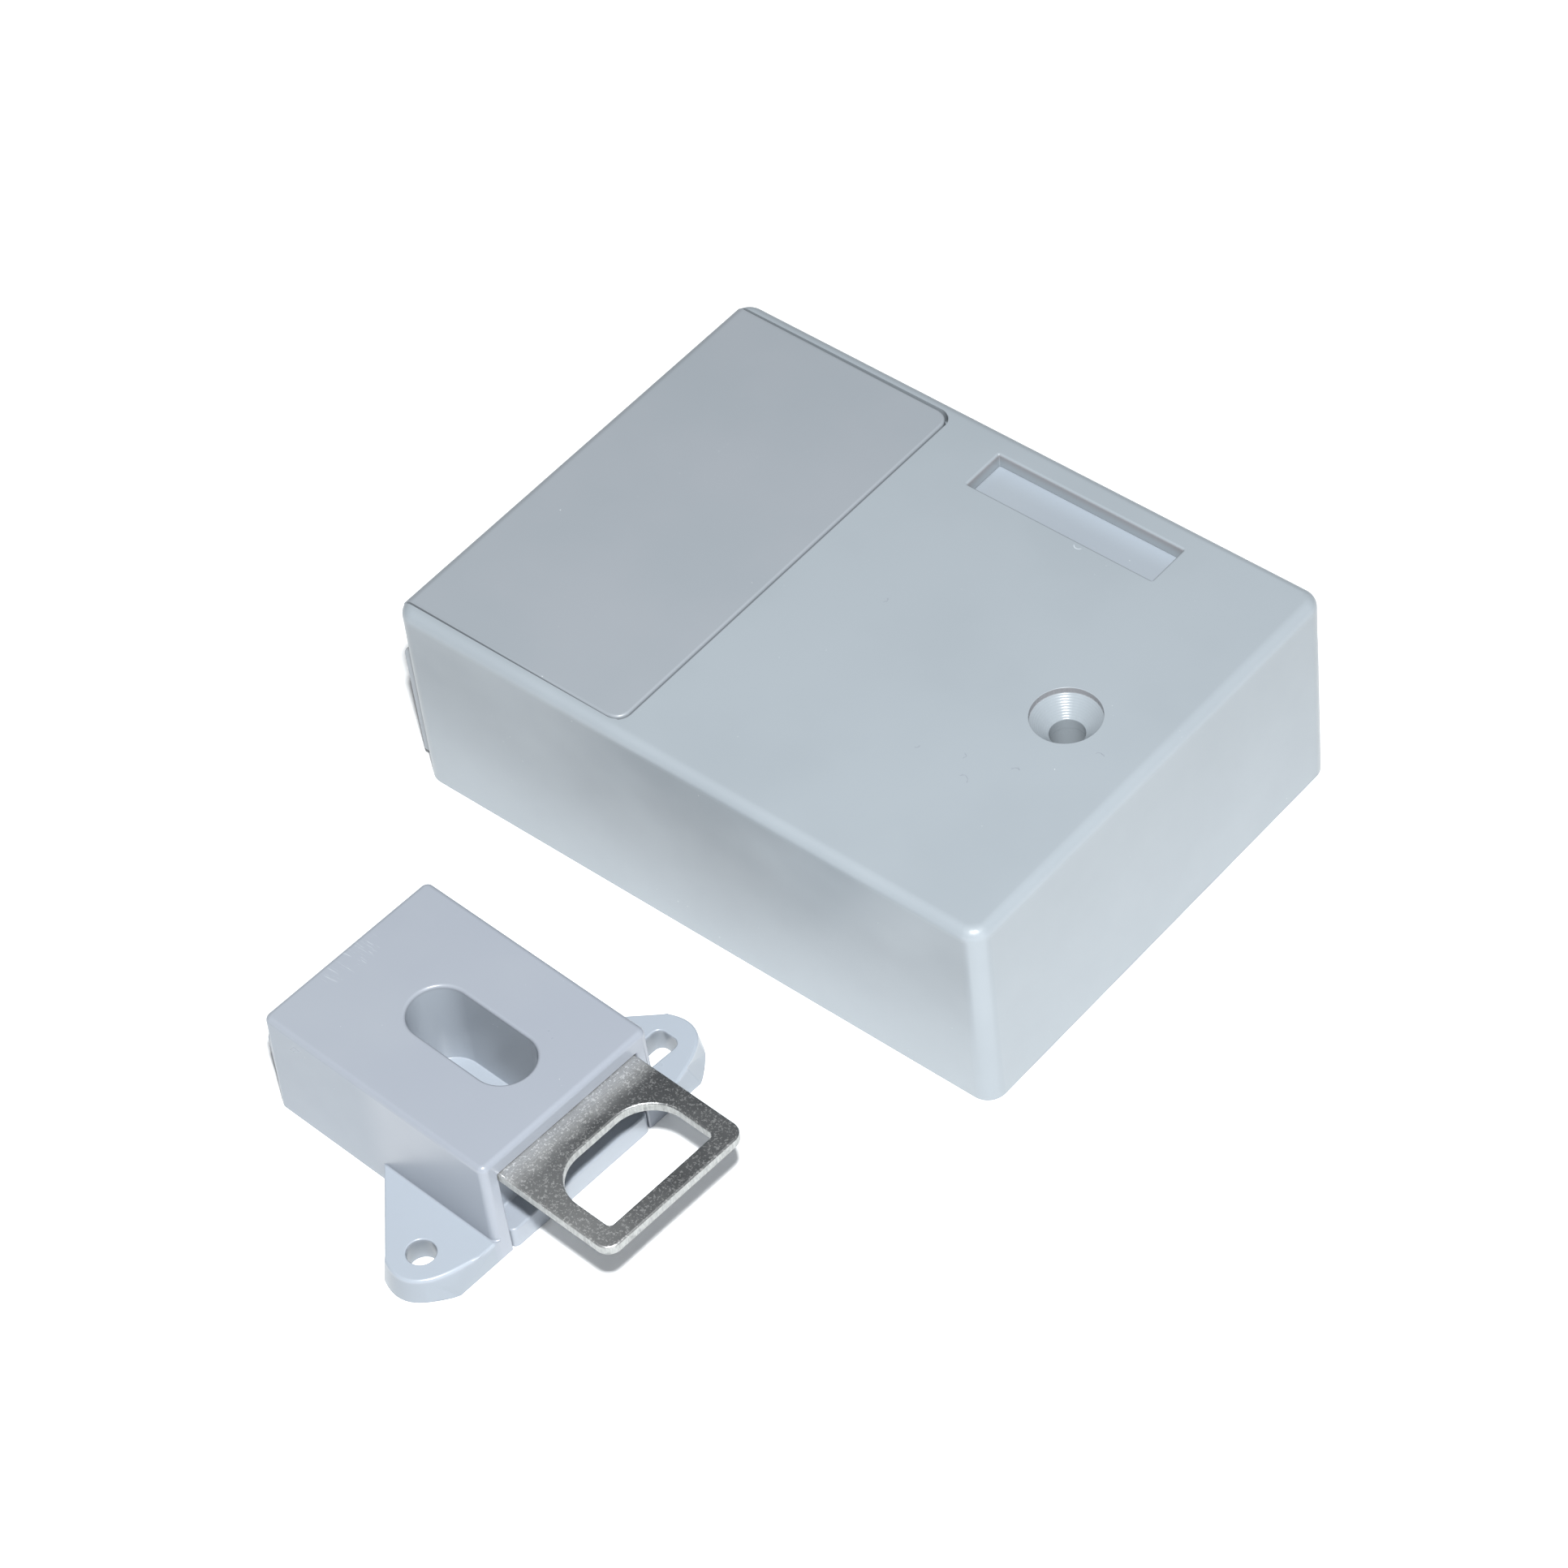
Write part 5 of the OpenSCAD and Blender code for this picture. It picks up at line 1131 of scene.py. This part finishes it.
def buzzer_finish():
    """Black moulding with fine turned rings on its top."""
    finish, place = finish_named("black_sounder")
    x, y, z = place.parts()
    rings = reach_from(x, y, buzzer_middle).waves(buzzer_ring)
    relief = rings * z.ease(buzzer_top - 0.2, buzzer_top) + place.cloud(0.3) * 0.4
    close_finish(place, {"Base Color": place.cloud(4.0, 2.0).between(tone(36, 37, 39), tone(28, 29, 31)),
                         "Roughness": place.cloud(2.0) * 0.1 + 0.40}, relief, 0.01)
    return finish


def capacitor_finish():
    """Dark sleeve with one pale stripe down its side; aluminium top with a scored cross."""
    finish, place = finish_named("capacitor_can")
    x, y, z = place.parts()
    side_x, side_y = x - capacitor_middle[0], y - capacitor_middle[1]
    rim = (side_x ** 2.0 + side_y ** 2.0).ease((capacitor_radius - 0.1) ** 2, capacitor_radius ** 2)
    top = z.ease(capacitor_top - 0.08, capacitor_top) * (1 - rim)
    stripe = (1 - abs(side_x).ease(0.9, 1.0)) * side_y.ease(0.1, 0.2) * (1 - z.ease(12.2, 12.3))
    score = 1 - abs(side_x).lower(abs(side_y)).ease(0.06, 0.16)
    sleeve = stripe.between(place.cloud(3.0).between(tone(28, 36, 66), tone(24, 30, 58)), tone(176, 182, 190))
    close_finish(place, {"Base Color": top.between(sleeve, tone(206, 207, 209)), "Metallic": top,
                         "Roughness": place.cloud(1.5) * 0.1 + 0.26}, 1 - score * top, 0.12)
    return finish


refinished("buzzer", buzzer_finish())
refinished("capacitor", capacitor_finish())
white_nylon = small_moulding("white_nylon", tone(228, 226, 218), tone(219, 217, 208), 0.42)
switch_black = small_moulding("switch_black", tone(40, 41, 43), tone(32, 33, 35), 0.42)
for node in ("battery_socket", "motor_socket", "set_button", "door_plunger"):
    refinished(node, white_nylon)
for node in ("set_switch", "door_switch"):
    refinished(node, switch_black)


# Leads
# Red and black leads of fine stranded wire in soft PVC, crimped into white plugs that press into the sockets.
# The battery leads start at the holder's tabs, the motor leads at the motor's base.
lead_radius, shortest_cord = 0.64, 0.03
motor_axis = (9.14, -20.39)
battery_start, motor_start = np.array([cells_x, 30.3, 10.85]), np.array([*motor_axis, 11.3])
lead_routes = (
    ("battery_lead_red", "battery_leads", battery_start, (0.76, -0.01, 0.65),
     ((7.25, 2.02, 0), (7.25, 2.7, 0), (8.05, 3.6, -0.25), (10.45, 3.9, -0.65), (13.45, 3.9, -1.45),
      (15.85, 3.7, -2.25), (18.45, 3.1, -3.25), (21.45, 1.7, -3.65), (23.45, -0.9, -3.45),
      (24.45, -3.7, -2.65), (25.05, -6.7, -1.65), (25.55, -9.7, 0.15), (26.25, -12.5, 2.05),
      (26.75, -14.7, 2.65), (27, -16.2, 1.95), (27.05, -16.9, 0.55), (27.05, -17.1, -1.25))),
    ("battery_lead_black", "battery_leads", battery_start, (0.66, 0.60, 0.45),
     ((-7.25, 2.05, 0), (-7.25, 2.8, 0), (-6.35, 3.9, -0.65), (-3.95, 4.6, -2.05), (-0.55, 4.9, -3.45),
      (3.45, 4.9, -4.65), (8.45, 4.9, -5.45), (13.45, 4.7, -5.75), (18.45, 4.3, -5.85),
      (21.05, 2.9, -5.85), (21.85, -0.3, -5.45), (22.05, -3.5, -4.05), (22.45, -6.7, -2.25),
      (23.15, -9.9, -0.45), (23.95, -12.6, 1.85), (24.55, -14.7, 2.55), (24.95, -16.2, 1.85),
      (25, -16.9, 0.45), (25, -17.1, -1.25))),
    ("motor_lead_red", "motor_leads", motor_start, (-0.52, -0.83, 0.20),
     ((1.45, -0.9, -0.02), (1.45, -0.9, -0.9), (1.75, -1.5, -2.1), (2.55, -3, -2.7), (3.55, -4.8, -2.7),
      (4.45, -6, -2), (4.95, -6.6, -0.5), (5.25, -6.8, 1.3), (6.15, -6.9, 2.3), (7.55, -7, 2.2),
      (8.35, -7.1, 1), (8.45, -7.1, -0.5), (8.45, -7.1, -1.7))),
    ("motor_lead_black", "motor_leads", motor_start, (-0.44, -0.87, 0.22),
     ((-1.15, -1.6, -0.02), (-1.15, -1.6, -0.9), (-0.75, -2.4, -2.1), (0.45, -4.5, -2.8),
      (2.05, -6.7, -2.8), (3.55, -8.3, -2.1), (4.65, -8.9, -0.5), (5.15, -9, 1.3), (6.15, -9, 2.3),
      (7.55, -9, 2.2), (8.35, -9.1, 1), (8.45, -9.1, -0.5), (8.45, -9.1, -1.7))))


def smooth_route(points, steps=5):
    """Between two points a cubic that leaves each of them along the chord of its two neighbours."""
    p = np.array(points, float)
    p = np.vstack((2 * p[0] - p[1], p, 2 * p[-1] - p[-2]))
    t = np.linspace(0, 1, steps, endpoint=False)[None, :, None]
    a, b, c, d = (p[i:len(p) - 3 + i, None] for i in range(4))
    line = 0.5 * (2 * b + (c - a) * t + (2 * a - 5 * b + 4 * c - d) * t ** 2
                  + (3 * b - a - 3 * c + d) * t ** 3)
    return np.vstack((line.reshape(-1, 3), p[-2]))


def lead_finish(name, body, shade):
    """Soft PVC with a faint twist of the strands under it and a little dust."""
    finish, place = finish_named(name)
    surface = {"Base Color": place.cloud(2.5, 2.0).between(body, shade),
               "Roughness": place.cloud(1.5) * 0.12 + 0.34}
    close_finish(place, surface, place.cloud(0.5, 2.0, 0.5, (1, 2, 1)), 0.02)
    return finish


lead_kinds = {"red": (lead_finish("red_lead_pvc", tone(172, 30, 28), tone(150, 24, 24)), "lead_red"),
              "black": (lead_finish("black_lead_pvc", tone(38, 38, 40), tone(28, 28, 30)), "black_plastic")}
for name, node, start, side_way, points in lead_routes:
    line = smooth_route(points) + start
    finish, slot = lead_kinds[name.split("_")[-1]]
    cover_tube = tube(line, lead_radius, 12, np.array([side_way]))
    lead = made_piece(name, [cover_tube], finish, "lock_unit", 60)
    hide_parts(node)
plug_middles, plug_half, plug_low, plug_high = ((-5.4, 13.0), (18.34, -27.94)), (1.9, 2.65), 7.3, 11.4
plugs = [moulded_body(middle, plug_half, plug_low, plug_high, 0.04) for middle in plug_middles]
made_piece("lead_plugs", plugs, white_nylon, "lock_unit")


# Gearbox, motor and gears
# A grey moulded frame and cover carry two ground axles, a drawn steel motor can with a pressed pinion, and
# two moulded acetal gears that step the motor down to the bolt's rack.
gearbox_grey = small_moulding("grey_gearbox_abs", tone(120, 126, 132), tone(112, 118, 124), 0.45)
refinished("gearbox_frame", gearbox_grey)
refinished("gearbox_cover", gearbox_grey)
axle_steel = plated_steel("ground_axle_steel", tone(204, 205, 206), tone(180, 182, 184), 0.2, (1, 1, 0.2))
refinished("gear_axles", axle_steel)
can_steel = plated_steel("drawn_motor_steel", tone(192, 193, 194), tone(164, 166, 168), 0.26, (1, 1, 12))
refinished("motor_can", can_steel)


def acetal_gear(name, axis, shaft=0.0):
    """White acetal with faint moulding rings round its axis; inside the shaft's radius it is steel."""
    finish, place = finish_named(name)
    x, y, z = place.parts()
    reach = reach_from(x, y, axis)
    rings = reach.waves(gear_ring)
    body = (place.cloud(3.0, 2.0) * 0.7 + rings * 0.3).between(tone(234, 233, 226), tone(222, 222, 215))
    surface = {"Base Color": body, "Roughness": place.cloud(2.0) * 0.1 + 0.27}
    if shaft:
        steel = 1 - reach.ease(shaft + 0.01, shaft + 0.03)
        surface.update({"Base Color": steel.between(body, tone(190, 192, 194)), "Metallic": steel})
    close_finish(place, surface, rings * 0.5 + place.cloud(0.25, 2.0) * 0.5, 0.006)
    return finish


gear_x, gear_ring = 3.14, 0.9
refinished("drive_gear", acetal_gear("drive_gear_acetal", (gear_x, 2.0)))
refinished("reduction_gear", acetal_gear("reduction_gear_acetal", (gear_x, -10.0)))
refinished("motor_pinion", acetal_gear("pinion_acetal", motor_axis, 0.75))


# Latch bolt
# Blanked steel, zinc plated, with its rack's teeth along one edge; rubbed bright along its two sliding sides.


def bolt_finish():
    """Plated strokes along the bolt, brighter and smoother beside its long edges."""
    finish, place = finish_named("zinc_bolt")
    x, y, z = place.parts()
    strokes = place.cloud(0.3, 3.0, 0.6, (1, 8, 1))
    rubbed = abs(x - slot_middle[0]).ease(4.6, 6.2)
    zinc_tone = (strokes * 0.5 + rubbed * 0.5).lower(1.0).between(tone(158, 162, 166), tone(202, 204, 206))
    close_finish(place, {"Base Color": zinc_tone, "Metallic": 1.0,
                         "Roughness": 0.38 - rubbed * 0.12 + strokes * 0.08}, strokes, 0.006)
    return finish


refinished("latch_bolt", bolt_finish())


# Screws
# Zinc-plated pan-head screws with a rolled thread and a cross recess, driven up into the bosses; the board's
# go down into the base plate's posts.


def screw(foot, up, shank, length, head, head_high, sides=36):
    """Rings from the tip to the head's middle; up is 1 for a head on top and -1 for a head below.

    The shank's radius follows the thread, a wedge wave of height / pitch - angle / full turn, and tapers at
    the tip. The head is a low dome, sunk by a soft cross near its middle.
    """
    pitch, turn = 0.42 * shank, 2 * pi * np.arange(sides) / sides
    height = np.linspace(-length, 0, int(length / pitch * 6))[:, None]
    phase = height / pitch - turn[None] / (2 * pi)
    wedge = np.abs(2 * (phase - np.floor(phase)) - 1)
    taper = np.clip((height + length) / (0.9 * shank), 0, 1)
    radius = shank / 2 * (0.35 + 0.65 * taper) - 0.13 * shank * wedge * taper * np.clip(-height / 0.5, 0, 1)
    share = np.concatenate(([0.96, 1.0, 1.0], np.linspace(0.96, 0.05, 16)))
    rise = np.concatenate(([0.0, 0.08, 0.42], 0.42 + 0.58 * np.sqrt(1 - share[3:] ** 2)))
    reach = share * head / 2
    side_x, side_y = reach[:, None] * np.cos(turn), reach[:, None] * np.sin(turn)
    narrow = np.minimum(np.abs(side_x), np.abs(side_y)) / (0.055 * head)
    wide = np.maximum(np.abs(side_x), np.abs(side_y)) / (0.26 * head)
    sunk = np.clip(2.0 - narrow, 0, 1) * np.clip((1.25 - wide) * 4, 0, 1) * 0.55
    top = head_high * (rise[:, None] - sunk * (rise[:, None] > 0.6))
    all_height = np.vstack((np.repeat(height, sides, 1), top))
    all_x, all_y = np.vstack((radius * np.cos(turn), side_x)), np.vstack((radius * np.sin(turn), side_y))
    rings = np.stack((foot[0] + all_x, foot[1] + up * all_y, foot[2] + up * all_height), -1)
    return closed_rings(rings)


zinc = plated_steel("zinc_plated_screw", tone(200, 203, 207), tone(170, 175, 181), 0.3)
screw_groups = (  # node, body, height of the seat, way, shank, length, head, head's height, places
    ("base_screws", "lock_unit", 1.4, -1, 2.6, 9.0, 4.6, 1.2,
     ((-46.25, -33.7), (-46.25, 33.7), (47.95, -33.7), (47.95, 33.7))),
    ("board_screws", "lock_unit", board_top, 1, 2.0, 3.6, 3.8, 1.2, board_screw_places),
    ("gearbox_screws", "lock_unit", 16.05, -1, 2.2, 17.95, 4.0, 1.5,
     ((-7.05, -24.69), (-7.05, 21.35), (25.9, -24.69), (25.9, 21.35))),
    ("keeper_screws", "keeper", 1.8, -1, 2.6, 10.0, 4.8, 1.6, ((-23.0, -88.69), (-22.21, -74.01))))
for node, body, seat, way, shank, length, head, head_high, places in screw_groups:
    screws = [screw((x, y, seat), way, shank, length, head, head_high) for x, y in places]
    row = made_piece(node + "_row", screws, zinc, body, 40)
    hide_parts(node)
